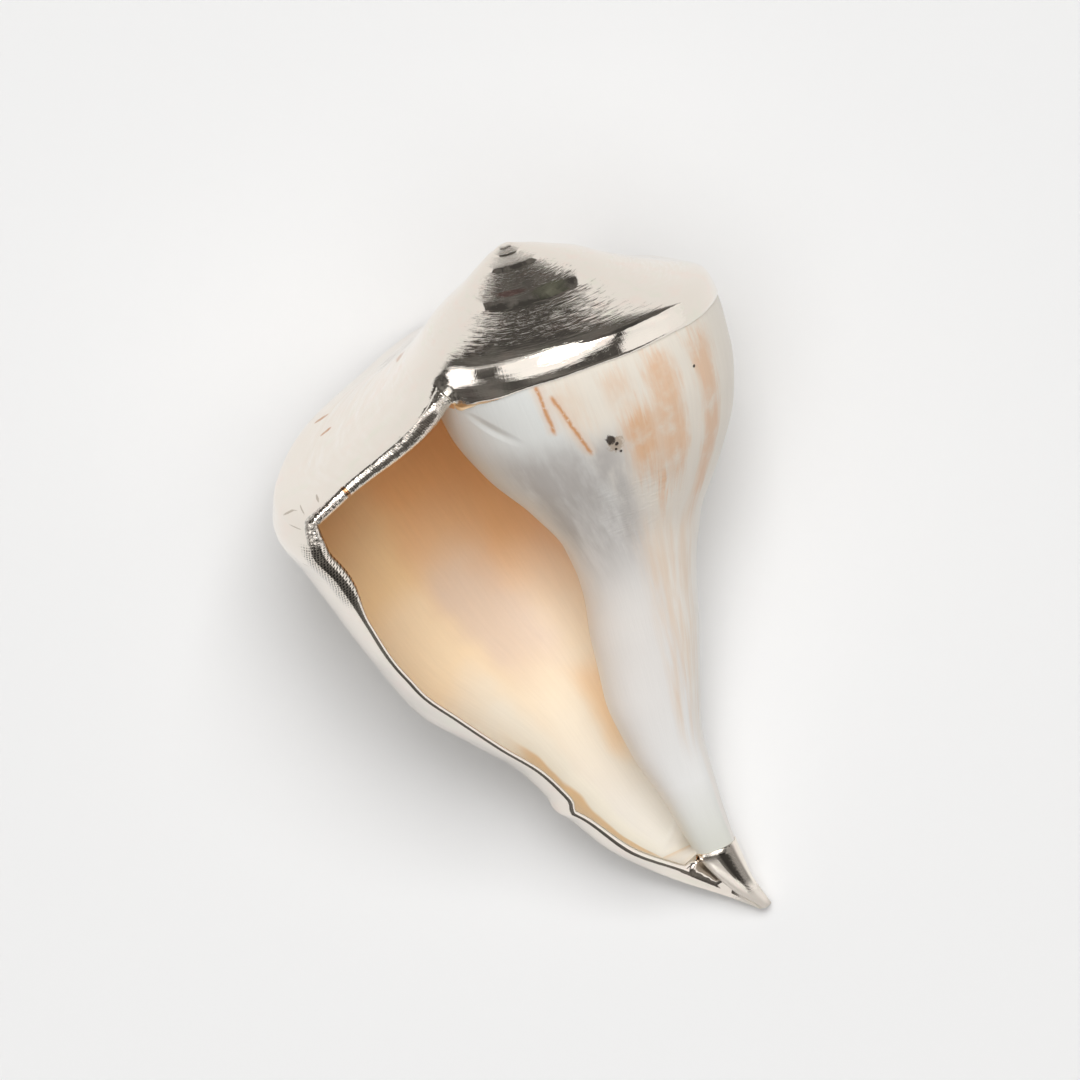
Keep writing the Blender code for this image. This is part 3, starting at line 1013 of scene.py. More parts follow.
# %% Shared groups
TURN_ON_MAP = 200.0
SIDE_ON_MAP = 130.0
RAMP_ON_MAP = 24.0
SPOT_RIM = (0.7, 1.15)
SWELL_RIM = (0.0, 1.4)
# how far the map is stretched across and along the whorl
LINE_STRETCH, THREAD_STRETCH = (1.6, 0.10), (0.16, 1.8)
# ripples for each metre
RIPPLE_SCALE = 160.0


def growth_group():
    outs = {"Turns": "Float", "Station": "Float", "Inside": "Float", "Map": "Vector"}
    tree, _, end = new_group("growth", {}, outs)
    found = {}
    for name in ("turns", "station", "inside"):
        found[name] = node(tree, "Attribute", attribute_name=name).outputs["Fac"]
        fill(end.inputs[name.capitalize()], found[name])
    x = times(found["turns"], TURN_ON_MAP)
    down = times(maths("MAXIMUM", found["station"], 0.0), SIDE_ON_MAP)
    up = times(maths("MINIMUM", found["station"], 0.0), RAMP_ON_MAP)
    flat = node(tree, "CombineXYZ", {"X": x, "Y": plus(down, up)})
    fill(end.inputs["Map"], flat.outputs[0])
    return tree


def spot_group():
    numbers = ("Across", "Down", "Wide", "Long", "Slant", "Ragged")
    ins = {"Map": "Vector", **dict.fromkeys(numbers, "Float")}
    tree, start, end = new_group("spot", ins, {"Mask": "Float", "Swell": "Float"})
    given = start.outputs
    here = node(tree, "SeparateXYZ", {0: given["Map"]}).outputs
    across = maths("SUBTRACT", here["X"], given["Across"])
    down = maths("SUBTRACT", here["Y"], given["Down"])
    down = maths("SUBTRACT", down, times(across, given["Slant"]))
    squares = []
    for away, span in ((across, "Wide"), (down, "Long")):
        share = maths("DIVIDE", away, given[span])
        squares.append(times(share, share))
    far = maths("SQRT", plus(*squares))
    ragged = times(swing(given["Map"], 1.3, 3.0, 0.6), given["Ragged"], 3.0)
    mask = inverse(step(plus(far, ragged), *SPOT_RIM))
    fill(end.inputs["Mask"], mask)
    fill(end.inputs["Swell"], inverse(step(far, *SWELL_RIM)))
    return tree


def grain_group():
    outs = dict.fromkeys(("Lines", "Threads", "Ripples"), "Float")
    tree, start, end = new_group("growth_grain", {"Map": "Vector"}, outs)
    for name, amounts in (("Lines", LINE_STRETCH), ("Threads", THREAD_STRETCH)):
        flat = stretched(start.outputs["Map"], *amounts)
        fill(end.inputs[name], noise(flat, 1.0, 4.0, 0.6))
    solid = source(start.outputs["Map"], "TexCoord", "Object")
    fill(end.inputs["Ripples"], noise(solid, RIPPLE_SCALE, 3.0, 0.5))
    return tree


GROWTH, SPOT, GRAIN = growth_group(), spot_group(), grain_group()


def spot_at(flat, across, down, wide, long, ragged, slant=0.0):
    """One spot: its place on the map, its size, and how ragged and slanting it is."""
    return use(tree_of(flat), SPOT, Map=flat, Across=across, Down=down, Wide=wide, Long=long,
               Ragged=ragged, Slant=slant)


print("groups:", [tree.name for tree in (GROWTH, SPOT, GRAIN)])

# %% [markdown]
# ## The mouth's colours
#
# Down the mouth the glaze goes from burnt orange under the shoulder to cream in the canal.
# A colour ramp along the station makes that. On top come a paler pink middle, a deep
# orange where the mouth goes out of sight, a honey streak that follows the lip, a lighter
# orange just inside the upper lip, which is painted light for light bounced into the rim's
# shade, warm shade along the columella, and a narrow tan strip just inside the lower lip.
# Each is one colour with one window in turns and one in station, so a single table holds
# them all.

# %% Mouth colours
MOUTH = ((0.0, (0.98, 0.58, 0.27)), (0.20, (0.98, 0.60, 0.29)), (0.30, (0.92, 0.64, 0.39)),
         (0.42, (0.94, 0.74, 0.52)), (0.52, (0.95, 0.80, 0.59)), (0.62, (0.92, 0.84, 0.70)),
         (0.78, (0.86, 0.83, 0.77)), (1.0, (0.76, 0.75, 0.69)))
# colour, strength, window in turns, window in station
MOUTH_TINTS = (
    ((0.84, 0.68, 0.54), 0.9, (-0.22, -0.19, -0.155, -0.125), (0.27, 0.36, 0.48, 0.58)),
    ((0.92, 0.54, 0.25), 0.9, (-0.50, -0.40, -0.222, -0.17), (-1.1, -1.0, 0.30, 0.47)),
    ((1.00, 0.82, 0.57), 0.85, (-0.15, -0.125, 0.1, 0.2), (0.14, 0.22, 0.46, 0.54)),
    ((0.94, 0.91, 0.80), 0.8, (-0.14, -0.11, 0.1, 0.2), (0.46, 0.54, 0.80, 0.90)),
    ((0.96, 0.70, 0.44), 0.9, (-0.50, -0.40, -0.212, -0.18), (0.53, 0.58, 0.66, 0.75)),
    # painted light: a lighter orange just inside the upper lip, in the rim's shade
    ((1.00, 0.74, 0.42), 0.8, (-0.165, -0.135, 0.1, 0.2), (0.03, 0.10, 0.28, 0.36)),
    ((0.78, 0.54, 0.29), 0.9, (-0.094, -0.085, 0.1, 0.2), (0.55, 0.62, 0.84, 0.90)),
)
TINTS_WANDER_IN_TURNS, TINTS_WANDER_IN_STATION = 0.05, 0.08


def mouth_colour(turns, station, flat):
    colour = ramp_of(station, MOUTH)
    wander = swing(flat, 0.06, 2.0)
    turns = plus(turns, times(wander, TINTS_WANDER_IN_TURNS))
    station = plus(station, times(wander, TINTS_WANDER_IN_STATION))
    for tint, strength, in_turns, in_station in MOUTH_TINTS:
        here = times(patch(turns, station, in_turns, in_station), strength)
        colour = mixed(here, colour, tint)
    return colour


print(len(MOUTH_TINTS), "tints in the mouth")

# %% [markdown]
# ## Tan flames on the outside
#
# Bare shell is bluish white porcelain. Flames of tan run along old growth lines and break
# up towards the canal. A flame is a band between two growth angles, so its table row says
# where its middle lies, how wide it is, and from which station to which it runs. One slow
# noise bends all of them alike, a second one frays their edges into streaks that follow
# the growth lines, and a third leaves gaps.

# %% Flames
FLAME = (0.88, 0.53, 0.30)
# middle and half width in turns, first and last station, strength
FLAMES = (
    (-0.757, 0.017, 0.060, 0.100, 0.60),
    (-0.746, 0.023, 0.125, 0.235, 1.00),
    (-0.725, 0.005, 0.235, 0.310, 0.80),
    (-0.706, 0.016, 0.050, 0.260, 0.85),
    (-0.648, 0.018, 0.060, 0.330, 0.80),
    (-0.815, 0.020, 0.050, 0.130, 0.25),
)
FLAME_CORE, FLAME_FRINGE = 0.3, 1.5
FLAME_ENDS = (-0.03, 0.03, -0.05, 0.04)
BENT_BY, FRAYED_BY, FRAYED_ALONG = 0.03, 0.02, 0.10
FLAME_STRENGTH = 0.9


def flames(turns, station, flat):
    """Where the tan flames are, from 0 to 1."""
    bends = times(swing(stretched(flat, 1, 0.5), 0.10), BENT_BY)
    streaks = swing(stretched(flat, 1.6, 0.2), 0.7)
    bent = plus(turns, bends, times(streaks, FRAYED_BY))
    along = plus(station, times(streaks, FRAYED_ALONG))
    gaps = step(noise(flat, 0.25), 0.05, 0.6)
    total = 0.0
    for at_turns, half, first, last, strength in FLAMES:
        core, fringe = FLAME_CORE * half, FLAME_FRINGE * half
        across = (at_turns - fringe, at_turns - core, at_turns + core, at_turns + fringe)
        length = [at + way for at, way in zip((first, first, last, last), FLAME_ENDS)]
        band = patch(bent, along, across, length)
        total = plus(times(band, strength), total)
    return times(total, gaps, FLAME_STRENGTH)


print(len(FLAMES), "flames")

# %% [markdown]
# ## Rest lines and an old barnacle
#
# Two thin orange lines mark places where growth once stopped. Each is a narrow band round
# a slanting line on the map, with a wider, paler halo, and a noise breaks it here and
# there. A barnacle once sat between them and the first flame. It left a brown foot, a dark
# pit and a few specks, which are spots on the same map.

# %% Rest lines and barnacle
REST_LINE = (0.72, 0.33, 0.12)
REST_HALO = (0.90, 0.66, 0.50)
REST_LINE_WIDTH, REST_LINE_WAVER = 0.0040, 0.004
# place in turns, its slant in turns for each station, window in station
REST_LINES = ((-0.843, 0.0, (0.03, 0.04, 0.11, 0.125)),
              (-0.841, 0.174, (0.055, 0.065, 0.16, 0.175)))
BARNACLE = (0.035, 0.022, 0.014)
BARNACLE_FOOT = (0.50, 0.38, 0.27)
# across and down the map, width and length, in millimetres, and raggedness
BARNACLE_SPOTS = ((-157.0, 20.2, 1.15, 1.0, 0.4), (-155.9, 21.5, 0.45, 0.4, 0.4),
                  (-155.4, 23.4, 0.35, 0.3, 0.4), (-156.4, 22.6, 0.3, 0.25, 0.4),
                  (-133.0, 13.1, 0.35, 0.3, 0.4))
FOOT_SPOT = (-156.2, 21.4, 2.0, 1.7, 0.6)


def rest_line(turns, station, flat, at_turns, slant, in_station):
    """The line itself and its halo, each from 0 to 1."""
    waver = times(swing(flat, 0.5), REST_LINE_WAVER)
    line = plus(times(station, slant), at_turns, waver)
    away = maths("ABSOLUTE", maths("SUBTRACT", turns, line))
    thin = inverse(step(away, 0.0, REST_LINE_WIDTH))
    halo = inverse(step(away, 0.0, 3 * REST_LINE_WIDTH))
    broken = step(noise(flat, 1.4), 0.28, 0.46)
    length = window(station, *in_station)
    return times(thin, broken, length), times(halo, length)


def barnacle(flat):
    """Where an old barnacle and its specks are, from 0 to 1."""
    return highest(*(spot_at(flat, *spot)["Mask"] for spot in BARNACLE_SPOTS))


print(len(REST_LINES), "rest lines and", len(BARNACLE_SPOTS), "barnacle spots")

# %% [markdown]
# ## The outside, put together
#
# The glaze itself changes a little down the side. On the side away from the mouth it is
# painted paler and creamier: painted light, for light that falls there from the right. At
# the waist, where the body narrows into the canal, it turns darker and greyer in cloudy
# patches, and below it the neck is streaked with a thin tan. Everything is laid on in the
# order in which it would be painted: ground first, specks last.

# %% Outside colour
PORCELAIN = ((0.0, (0.90, 0.91, 0.88)), (0.16, (0.88, 0.88, 0.85)), (0.34, (0.88, 0.85, 0.82)),
             (0.48, (0.92, 0.88, 0.84)), (0.62, (0.97, 0.94, 0.91)), (0.76, (1.0, 0.99, 0.97)),
             (0.86, (0.86, 0.86, 0.79)), (1.0, (0.80, 0.78, 0.70)))
# painted light: the side away from the mouth is paler and creamier, for light from the right
PAINTED_LIGHT_SIDE = ((0.0, (0.96, 0.89, 0.78)), (0.28, (0.95, 0.86, 0.75)), (0.45, (1.0, 0.95, 0.88)),
              (1.0, (1.0, 0.96, 0.91)))
PAINTED_LIGHT_SLANT = -0.25
PAINTED_LIGHT_EDGE = (-0.875, -0.835)
SHADE = (0.60, 0.565, 0.535)
# windows in turns and in station
WAIST = ((-0.96, -0.90, -0.80, -0.73), (0.11, 0.18, 0.30, 0.44))
NECK_TAN = (0.92, 0.74, 0.58)
NECK = ((-0.82, -0.76, -0.66, -0.60), (0.27, 0.36, 0.62, 0.74))
NECK_STRENGTH, HALO_STRENGTH, LINE_STRENGTH = 0.75, 0.55, 0.9
FOOT_STRENGTH, BARNACLE_STRENGTH = 0.75, 0.95


def outside_ground(turns, station, flat):
    """Porcelain, darker in cloudy patches at the waist, with painted light away from the mouth.
    """
    cloud = noise(stretched(flat, 1.0, 0.5), 0.12, 4.0, 0.6)
    waist = times(patch(turns, station, *WAIST), step(cloud, 0.2, 0.62))
    colour = mixed(waist, ramp_of(station, PORCELAIN), SHADE)
    # painted light on the side away from the mouth
    slanted = plus(turns, times(station, PAINTED_LIGHT_SLANT))
    painted_light = times(step(slanted, *PAINTED_LIGHT_EDGE), inverse(waist))
    return mixed(painted_light, colour, ramp_of(station, PAINTED_LIGHT_SIDE))


def outside_colour(turns, station, flat):
    colour = outside_ground(turns, station, flat)
    colour = mixed(flames(turns, station, flat), colour, FLAME)
    streaks = step(noise(stretched(flat, 1.0, 0.3), 0.22), 0.25, 0.75)
    neck = times(patch(turns, station, *NECK), streaks, NECK_STRENGTH)
    colour = mixed(neck, colour, NECK_TAN)
    for placed in REST_LINES:
        line, halo = rest_line(turns, station, flat, *placed)
        colour = mixed(times(halo, HALO_STRENGTH), colour, REST_HALO)
        colour = mixed(times(line, LINE_STRENGTH), colour, REST_LINE)
    foot = spot_at(flat, *FOOT_SPOT)["Mask"]
    colour = mixed(times(foot, FOOT_STRENGTH), colour, BARNACLE_FOOT)
    return mixed(times(barnacle(flat), BARNACLE_STRENGTH), colour, BARNACLE)


print("outside: ground, flames, neck, rest lines and barnacle")

# %% [markdown]
# ## The shell's finish
#
# One material covers outside and mouth, and the number kept as `inside` chooses between
# them. The growth lines are colour as much as relief: the same noise tints the glaze a
# little and lifts it by a few hundredths of a millimetre. Heights are added up and go
# through one bump. They are wrinkles at the waist, a healed scar, and the barnacle's crust.

# %% Shell finish
# heights in millimetres
LINES_ON_GLAZE, RIPPLES_ON_GLAZE, WRINKLES, SCAR_DEPTH, CRUST = 0.02, 0.12, 0.22, -0.3, 0.3
WRINKLED = ((-0.86, -0.82, -0.70, -0.66), (0.21, 0.25, 0.33, 0.38))
# across and down the map, width and length, raggedness and slant
SCAR = (-183.0, 12.0, 5.5, 1.5, 0.1, 0.59)
OLDER_WHORL = (-1.16, -1.08, -0.97, -0.95)
GLAZE_ROUGHNESS, CRUST_ROUGHNESS = 0.34, 0.9
OUTSIDE_TONE, MOUTH_TONE = 0.945, 1.0
LINE_TONES = {"From Min": 0.3, "From Max": 0.7, "To Min": 0.975, "To Max": 1.015}


def shell_relief(turns, station, flat, grain):
    """Heights in millimetres: growth lines, ripples, wrinkles, a scar and a crust."""
    wrinkled = patch(turns, station, *WRINKLED)
    threads = maths("SUBTRACT", grain["Threads"], 0.5)
    return plus(times(grain["Lines"], LINES_ON_GLAZE),
                times(grain["Ripples"], RIPPLES_ON_GLAZE),
                times(threads, wrinkled, WRINKLES),
                times(spot_at(flat, *SCAR)["Swell"], SCAR_DEPTH),
                times(barnacle(flat), CRUST))


def shell_finish():
    made, tree, shader = finish_of("porcelain")
    where = use(tree, GROWTH)
    turns, station, flat = where["Turns"], where["Station"], where["Map"]
    grain = use(tree, GRAIN, Map=flat)
    older = window(turns, *OLDER_WHORL)
    glazed = times(step(where["Inside"], 0.6, 1.0), inverse(older))
    colour = mixed(glazed, outside_colour(turns, station, flat),
                   mouth_colour(turns, station, flat))
    tone = node(tree, "MapRange", {"Value": grain["Lines"], **LINE_TONES}).outputs[0]
    tone = times(tone, mixed_value(glazed, OUTSIDE_TONE, MOUTH_TONE))
    fill(shader.inputs["Base Color"], scaled(colour, tone))
    roughness = mixed_value(barnacle(flat), GLAZE_ROUGHNESS, CRUST_ROUGHNESS)
    fill(shader.inputs["Roughness"], roughness)
    height = shell_relief(turns, station, flat, grain)
    fill(shader.inputs["Normal"], bump_of(height))
    return made


shell.data.materials.append(shell_finish())
print("the shell wears", shell.data.materials[0].name)

# %% [markdown]
# ## Silver: marks on the lip
#
# The finish of the plating starts with its dark marks. Tarnish gathers where a polishing
# cloth doesn't reach. On the lip's edge below the shoulder that is a patch of small pits
# between two sets of fine grooves, one along the edge and one across it. Further up it
# fills a few grooves, and the knee is mottled dark. All along the edge a dark line is
# painted, thick at first and thin towards the canal: a painted dark reflection of the room
# in the rim's curve. Each function gives a mask from 0 to 1.

# %% Marks on the lip
RIB_PITCH = 0.55
# the way across the lip's edge, as the shell lies
ACROSS_LIP = (0.92, -0.38, 0.08)
PITTED_TURNS = (-0.012, -0.004)
PITTED_STATIONS = (0.035, 0.05, 0.15, 0.18)
CUT_STATIONS = (-0.95, -0.9, -0.02, 0.0)
KNEE_STATIONS = (-0.10, -0.04, 0.035, 0.05)
EDGE_STATIONS = (0.0, 0.03, 0.74, 0.82)
CUT_STRENGTH, KNEE_STRENGTH = 0.55, 0.7
# mottles for each metre
MOTTLE_SCALE = 1400.0


def over_lip(flat):
    """A count of ribs down the lip, which wavers a little, and the waver alone."""
    waver = swing(flat, 0.5)
    down = node(tree_of(flat), "SeparateXYZ", {0: flat}).outputs["Y"]
    return plus(times(down, 1 / RIB_PITCH), waver), waver


def crossed_grooves(turns, station, inside, flat):
    """Dark pits between fine grooves that cross on the lip's edge."""
    over, waver = over_lip(flat)
    solid = source(flat, "TexCoord", "Object")
    both = {0: solid, 1: ACROSS_LIP}
    away = node(tree_of(flat), "VectorMath", both, operation="DOT_PRODUCT").outputs["Value"]
    along = plus(times(away, 1 / (RIB_PITCH * MM)), waver)
    pits = 1.0
    for count in (over, along):
        wave = maths("SINE", times(count, 2 * math.pi))
        pits = times(step(wave, -0.7, -0.1), pits)
    near_edge = step(plus(turns, times(waver, 0.01)), *PITTED_TURNS)
    outer = inverse(step(inside, 0.60, 0.70))
    return times(pits, outer, near_edge, window(station, *PITTED_STATIONS))


def cuts_and_knee(station, inside, flat):
    """A few cuts across the lip above the shoulder, and a mottled knee on the shoulder."""
    over, _ = over_lip(flat)
    on_rim = window(inside, 0.05, 0.2, 0.9, 0.99)
    ragged = plus(station, times(swing(flat, 1.2), 0.2))
    wave = maths("SINE", times(over, 4 * math.pi))
    cuts = times(step(wave, 0.5, 0.95), on_rim, window(ragged, *CUT_STATIONS), CUT_STRENGTH)
    solid = source(flat, "TexCoord", "Object")
    mottled = step(noise(solid, MOTTLE_SCALE, 2.0), 0.40, 0.58)
    knee = times(window(station, *KNEE_STATIONS),
                 window(inside, 0.02, 0.2, 0.9, 0.99), mottled, KNEE_STRENGTH)
    return highest(cuts, knee)


def painted_dark_edge(station, inside, flat):
    """Painted dark reflection: a line along the lip's edge from below the shoulder to the canal.
    """
    bent = plus(inside, times(swing(flat, 0.6), 0.3))
    thick = window(bent, 0.60, 0.70, 0.92, 0.98)
    thin = window(bent, 0.74, 0.82, 0.92, 0.98)
    upper = step(station, 0.24, 0.19)
    across = highest(thin, times(upper, thick))
    return times(across, window(station, *EDGE_STATIONS))


print("ribs on the lip every", RIB_PITCH, "mm")

# %% [markdown]
# ## Silver: its colour
#
# A metal's base colour is what it does to light that it mirrors, so clean silver is nearly
# white, a little warm here and greenish there. On the spire a reddish and a greenish tint
# are painted reflections of coloured things in the room. Copper shows where it has worn
# through and brown scratches run beside the lip. Tarnish and painted dark reflection make
# the marks above almost black. One side of the canal's tip is painted dark all over, a
# painted dark reflection of the room. Beside it runs a band where the plating came out
# rough, and so does the tip. A rough, chalky metal scatters light like paint, so there the
# metallic value drops too.

# %% Silver's colour
SILVER = (0.865, 0.80, 0.72)
SILVER_WARM = (0.88, 0.78, 0.70)
SILVER_GREEN = (0.82, 0.80, 0.69)
COPPER = (0.55, 0.29, 0.14)
# Tarnish in the pits and grooves; the same colour paints the dark reflections on the lip's edge
# and the canal's tip
TARNISH_AND_DARK_REFLECTION = (0.10, 0.085, 0.07)
SCRATCH_BROWN = (0.36, 0.28, 0.20)
TARNISH_AND_REFLECTION_STRENGTH, SCRATCH_STRENGTH = 0.92, 0.7
# across and down the map, width and length in millimetres, raggedness, slant
WORN_SPOTS = ((-25.2, -19.6, 1.7, 0.9, 0.3), (-26.9, -18.7, 1.1, 0.6, 0.3),
              (-27.0, -4.0, 0.5, 1.3, 0.3), (-21.0, -7.0, 0.5, 1.0, 0.3),
              (0.6, -6.0, 0.5, 0.3, 0.3))
SCRATCHES = ((-3.0, -0.8, 1.6, 0.16, 0.25, 0.5), (-5.2, 0.1, 1.3, 0.14, 0.25, -0.3),
             (-2.6, 1.7, 1.8, 0.15, 0.25, 0.1), (-2.4, -3.5, 1.2, 0.18, 0.25, 0.4),
             (-3.0, 10.5, 0.9, 0.15, 0.25, 0.2))
# painted reflections: a reddish and a greenish tint on the spire, for coloured things in the room
# tint, strength, and the same for its spot
PAINTED_REFLECTIONS = (((0.66, 0.30, 0.28), 0.55, (-370.0, -6.2, 9.0, 2.2, 0.6)),
          ((0.66, 0.70, 0.48), 0.6, (-351.0, -1.7, 9.0, 4.0, 0.6)))
# painted dark reflection: one side of the canal's tip is painted dark all over
PAINTED_DARK_FACET = ((-0.84, -0.815, -0.70, -0.655), (0.875, 0.885, 0.945, 0.962))
PAINTED_FACET_STRENGTH = 0.8
ROUGH_BAND = (-1.06, -1.0, -0.865, -0.84)


def tarnish_and_dark_reflection(turns, station, inside, flat):
    painted_facet = times(patch(turns, station, *PAINTED_DARK_FACET), PAINTED_FACET_STRENGTH)
    return highest(crossed_grooves(turns, station, inside, flat),
                   cuts_and_knee(station, inside, flat),
                   painted_dark_edge(station, inside, flat), painted_facet)


def crackled(turns, station):
    """Where the plating is rough: a band on the foot of the columella, and the tip."""
    band = times(window(turns, *ROUGH_BAND), step(station, 0.885, 0.900))
    return highest(band, step(station, 0.955, 0.975))


def silver_colour(turns, station, inside, flat):
    blotches = noise(flat, 0.15, 3.0)
    colour = mixed(step(blotches, 0.5, 0.7), SILVER, SILVER_WARM)
    colour = mixed(times(step(blotches, 0.45, 0.3), 0.6), colour, SILVER_GREEN)
    marks = [*PAINTED_REFLECTIONS, *((COPPER, 1.0, spot) for spot in WORN_SPOTS),
             *((SCRATCH_BROWN, SCRATCH_STRENGTH, spot) for spot in SCRATCHES)]
    for tint, strength, spot in marks:
        mask = spot_at(flat, *spot)["Mask"]
        colour = mixed(times(mask, strength), colour, tint)
    dark = tarnish_and_dark_reflection(turns, station, inside, flat)
    return mixed(times(dark, TARNISH_AND_REFLECTION_STRENGTH), colour, TARNISH_AND_DARK_REFLECTION)


print(len(WORN_SPOTS), "worn spots,", len(SCRATCHES), "scratches and", len(PAINTED_REFLECTIONS), "painted_reflections")

# %% [markdown]
# ## Silver: its relief
#
# Polished silver mirrors the room. What makes it look laid on a shell, and old, is that the
# mirror is not flat. Threads run along the whorls, growth lines cross them, and the lip is
# crumpled above its shoulder. Those are heights for one bump.
#
# A mirror also shows very slow changes of slope, far too slow for a bump to make. So the
# normal itself is tipped: along the whorl by an amount that changes from thread to thread,
# and across it by a smaller one. That is what breaks the border between a pale and a dark
# reflection into long ragged streaks. Below the shoulder the whorl was polished smoother,
# and its normal leans less.

# %% Silver's relief
# heights in millimetres
THREADS, LINES, RIPPLES, CRUMPLE = 0.04, 0.012, 0.04, 0.25
# crumples for each metre
CRUMPLE_SCALE = 900.0
# the shell's axis as it lies
AXIS = (0.0, -math.sin(math.radians(TILT)), math.cos(math.radians(TILT)))
LEAN_ON_RAMP, LEAN_BELOW, ROCK = 1.5, 0.35, 0.4


def away_from_sutures(turns, station):
    """1 on the ramps, fading to 0 where two whorls meet."""
    upper = step(station, -1.0, -0.9)
    lower = times(step(station, -0.12, 0.0), step(turns, -0.985, -1.0))
    return times(upper, inverse(lower))


def silver_relief(turns, station, inside, grain):
    """Heights in millimetres of threads, growth lines, ripples and the crumpled rim."""
    threads = times(maths("SUBTRACT", grain["Threads"], 0.5), THREADS)
    lines = times(maths("SUBTRACT", grain["Lines"], 0.5), LINES)
    fine = times(plus(threads, lines), away_from_sutures(turns, station))
    solid = source(station, "TexCoord", "Object")
    on_rim = times(window(inside, 0.02, 0.3, 0.7, 0.98),
                   inverse(step(station, 0.02, 0.06)))
    crumple = times(noise(solid, CRUMPLE_SCALE, 3.0, 0.6), on_rim, CRUMPLE)
    return plus(fine, times(grain["Ripples"], RIPPLES), crumple)


def leaning(normal, station, flat):
    """The normal, tipped along the whorl and across it, thread by thread."""
    straight = source(flat, "NewGeometry", "Normal")
    along = vector_maths("CROSS_PRODUCT", straight, AXIS)
    across = vector_maths("CROSS_PRODUCT", along, straight)
    on_ramp = inverse(step(station, -0.25, -0.08))
    most = mixed_value(on_ramp, LEAN_BELOW, LEAN_ON_RAMP)
    lean = times(swing(stretched(flat, 0.20, 1.2), 1.0, 4.0, 0.6), most)
    bands = swing(stretched(flat, 0.15, 0.9), 1.3, 3.0, 0.6)
    rock = times(bands, on_ramp, ROCK)
    total = vector_maths("ADD", normal, scaled(along, lean))
    total = vector_maths("ADD", total, scaled(across, rock))
    return vector_maths("NORMALIZE", total)


print("threads are", THREADS, "mm high")

# %% [markdown]
# ## Silver: the finish
#
# Colour, relief and the leaning normal meet in one material. Polished silver is fully
# metallic and nearly smooth; where the plating is rough it is duller and less metallic.

# %% Silver finish
POLISHED, CHALKY = 0.05, 0.45
CHALKY_METALLIC = 0.35


def silver_finish():
    made, tree, shader = finish_of("silver")
    where = use(tree, GROWTH)
    turns, station, inside, flat = (where[n] for n in ("Turns", "Station", "Inside", "Map"))
    grain = use(tree, GRAIN, Map=flat)
    colour = silver_colour(turns, station, inside, flat)
    fill(shader.inputs["Base Color"], colour)
    rough = crackled(turns, station)
    fill(shader.inputs["Metallic"], mixed_value(rough, 1.0, CHALKY_METALLIC))
    fill(shader.inputs["Roughness"], mixed_value(rough, POLISHED, CHALKY))
    height = silver_relief(turns, station, inside, grain)
    normal = leaning(bump_of(height), station, flat)
    fill(shader.inputs["Normal"], normal)
    return made


silver.data.materials.append(silver_finish())
print("finishes:", [finish.name for finish in bpy.data.materials])

# %% [markdown]
# ## A paper floor
#
# The shell lies on plain white paper. The floor is marked as stage, so it's no part of the
# shell. How far it reaches matters more than it seems to: the silver mirrors the paper, and
# the edge of the paper draws a crisp border between pale and dark in that reflection.

# %% Paper floor
FLOOR_HALF = 0.5
PAPER = (0.857, 0.857, 0.857, 1)

paper_finish, _, paper_shader = finish_of("white_paper")
paper_shader.inputs["Base Color"].default_value = PAPER
paper_shader.inputs["Roughness"].default_value = 1.0
corners = [(-FLOOR_HALF, -FLOOR_HALF, 0), (FLOOR_HALF, -FLOOR_HALF, 0),
           (FLOOR_HALF, FLOOR_HALF, 0), (-FLOOR_HALF, FLOOR_HALF, 0)]
paper_mesh = bpy.data.meshes.new("paper")
paper_mesh.from_pydata(corners, [], [(0, 1, 2, 3)])
paper_mesh.materials.append(paper_finish)
paper = bpy.data.objects.new("paper", paper_mesh)
bpy.context.scene.collection.objects.link(paper)
paper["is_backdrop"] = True
print("the paper is", 2 * FLOOR_HALF, "m wide")

# %% [markdown]
# ## A camera straight above
#
# Seen from straight above, the shell lies with its apex up and its canal to the lower
# right, so the camera is turned about its line of sight. It stands three metres away and
# looks through a long lens. That keeps the shell nearly free of perspective, and still
# leaves a real distance for the mirror to work with.

# %% Camera
VIEW_TURN = 21.68
VIEW_WIDTH = 0.1979
CAMERA_HEIGHT = 3.0
SENSOR = 36.0
APEX_TO_CENTRE = (6.78, -54.2)

turn = math.radians(VIEW_TURN)
view_right = Vector((math.cos(turn), -math.sin(turn)))
view_up = Vector((math.sin(turn), math.cos(turn)))
apex = Vector(MOVE[:2]) * MM
aim = apex + (APEX_TO_CENTRE[0] * view_right + APEX_TO_CENTRE[1] * view_up) * MM
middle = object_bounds()[1][2] / 2

camera_data = bpy.data.cameras.new("camera")
camera_data.sensor_width = SENSOR
camera_data.lens = SENSOR * (CAMERA_HEIGHT - middle) / VIEW_WIDTH
camera = bpy.data.objects.new("camera", camera_data)
camera.location = (aim.x, aim.y, CAMERA_HEIGHT)
camera.rotation_euler = (0, 0, -turn)
bpy.context.scene.collection.objects.link(camera)
bpy.context.scene.camera = camera
print("lens:", round(camera_data.lens), "mm")

# %% [markdown]
# ## Soft boxes
#
# A metal shows only what it mirrors, so the room matters as much as the metal: paper below,
# a dark room round it, and soft white boxes overhead. Two jobs are kept apart. The key box
# and the fills light the porcelain and cast the soft shadow, and the fills can't be seen in
# the silver. The box straight over the shell and the two cards at its sides are there to be
# mirrored only: they give the long highlight on the keel and the pale faces beside it, and
# light nothing else.

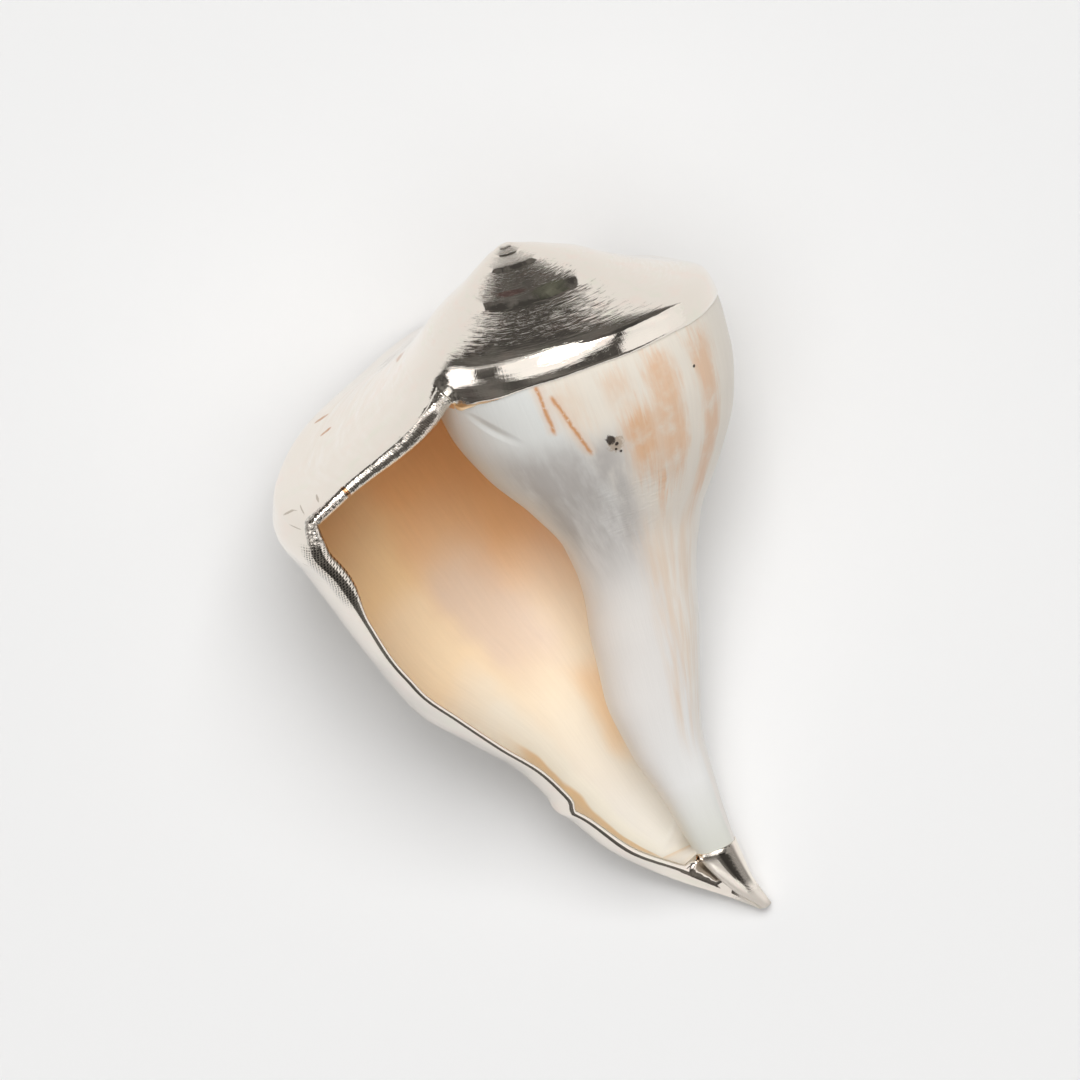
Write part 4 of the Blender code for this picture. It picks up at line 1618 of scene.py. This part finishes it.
# %% Soft boxes
def soft_box(name, toward, elevation, distance, size, power):
    """A white lamp that looks at the shell from a direction on the floor plan."""
    level = Vector((toward[0], toward[1], 0)).normalized()
    lift = math.radians(elevation)
    place_at = (level * math.cos(lift) + Vector((0, 0, math.sin(lift)))) * distance
    lamp = bpy.data.lights.new(name, "AREA")
    lamp.shape = "RECTANGLE"
    lamp.size, lamp.size_y = size
    lamp.energy = power
    box = bpy.data.objects.new(name, lamp)
    box.location = place_at
    box.rotation_euler = (-place_at).to_track_quat("-Z", "Y").to_euler()
    bpy.context.scene.collection.objects.link(box)
    return box


# where it stands, its elevation, distance, size and power
soft_box("key_box", (0.46, 0.89), 66, 10.0, (5.6, 5.6), 556)
for unmirrored in (soft_box("top_fill", (-0.11, -0.28), 84, 4.0, (4.0, 4.0), 71),
                   soft_box("side_fill", (-0.61, 0.35), 70, 4.0, (3.0, 3.0), 16)):
    unmirrored.visible_glossy = False
for mirrored in (soft_box("over_box", (0.12, 1.0), 80, 3.6, (5.2, 3.6), 58),
                 soft_box("left_card", (-0.95, 0.3), 24, 3.0, (1.9, 1.9), 16),
                 soft_box("right_card", (1.0, -0.1), 17, 3.0, (4.0, 3.2), 34)):
    mirrored.visible_diffuse = False
print("boxes:", [lamp.name for lamp in bpy.data.lights])

# %% [markdown]
# ## A dark room
#
# Where the silver mirrors neither paper nor box it mirrors the room. One flat colour would
# look dead there, so a slow noise makes the walls an uneven dark grey.

# %% A dark room
ROOM = ((0.0, (0.03, 0.03, 0.028)), (0.42, (0.06, 0.058, 0.055)), (0.52, (0.13, 0.125, 0.12)),
        (0.7, (0.22, 0.215, 0.2)))
ROOM_SCALE = 2.2

room = bpy.data.worlds.new("room")
room.use_nodes = True
walls = room.node_tree
around = node(walls, "TexCoord").outputs["Generated"]
shapes = noise(around, ROOM_SCALE, 4.0, 0.6)
fill(walls.nodes["Background"].inputs["Color"], ramp_of(shapes, ROOM))
bpy.context.scene.world = room
bpy.context.scene.view_settings.view_transform = "Standard"
print("the room has", len(ROOM), "greys")
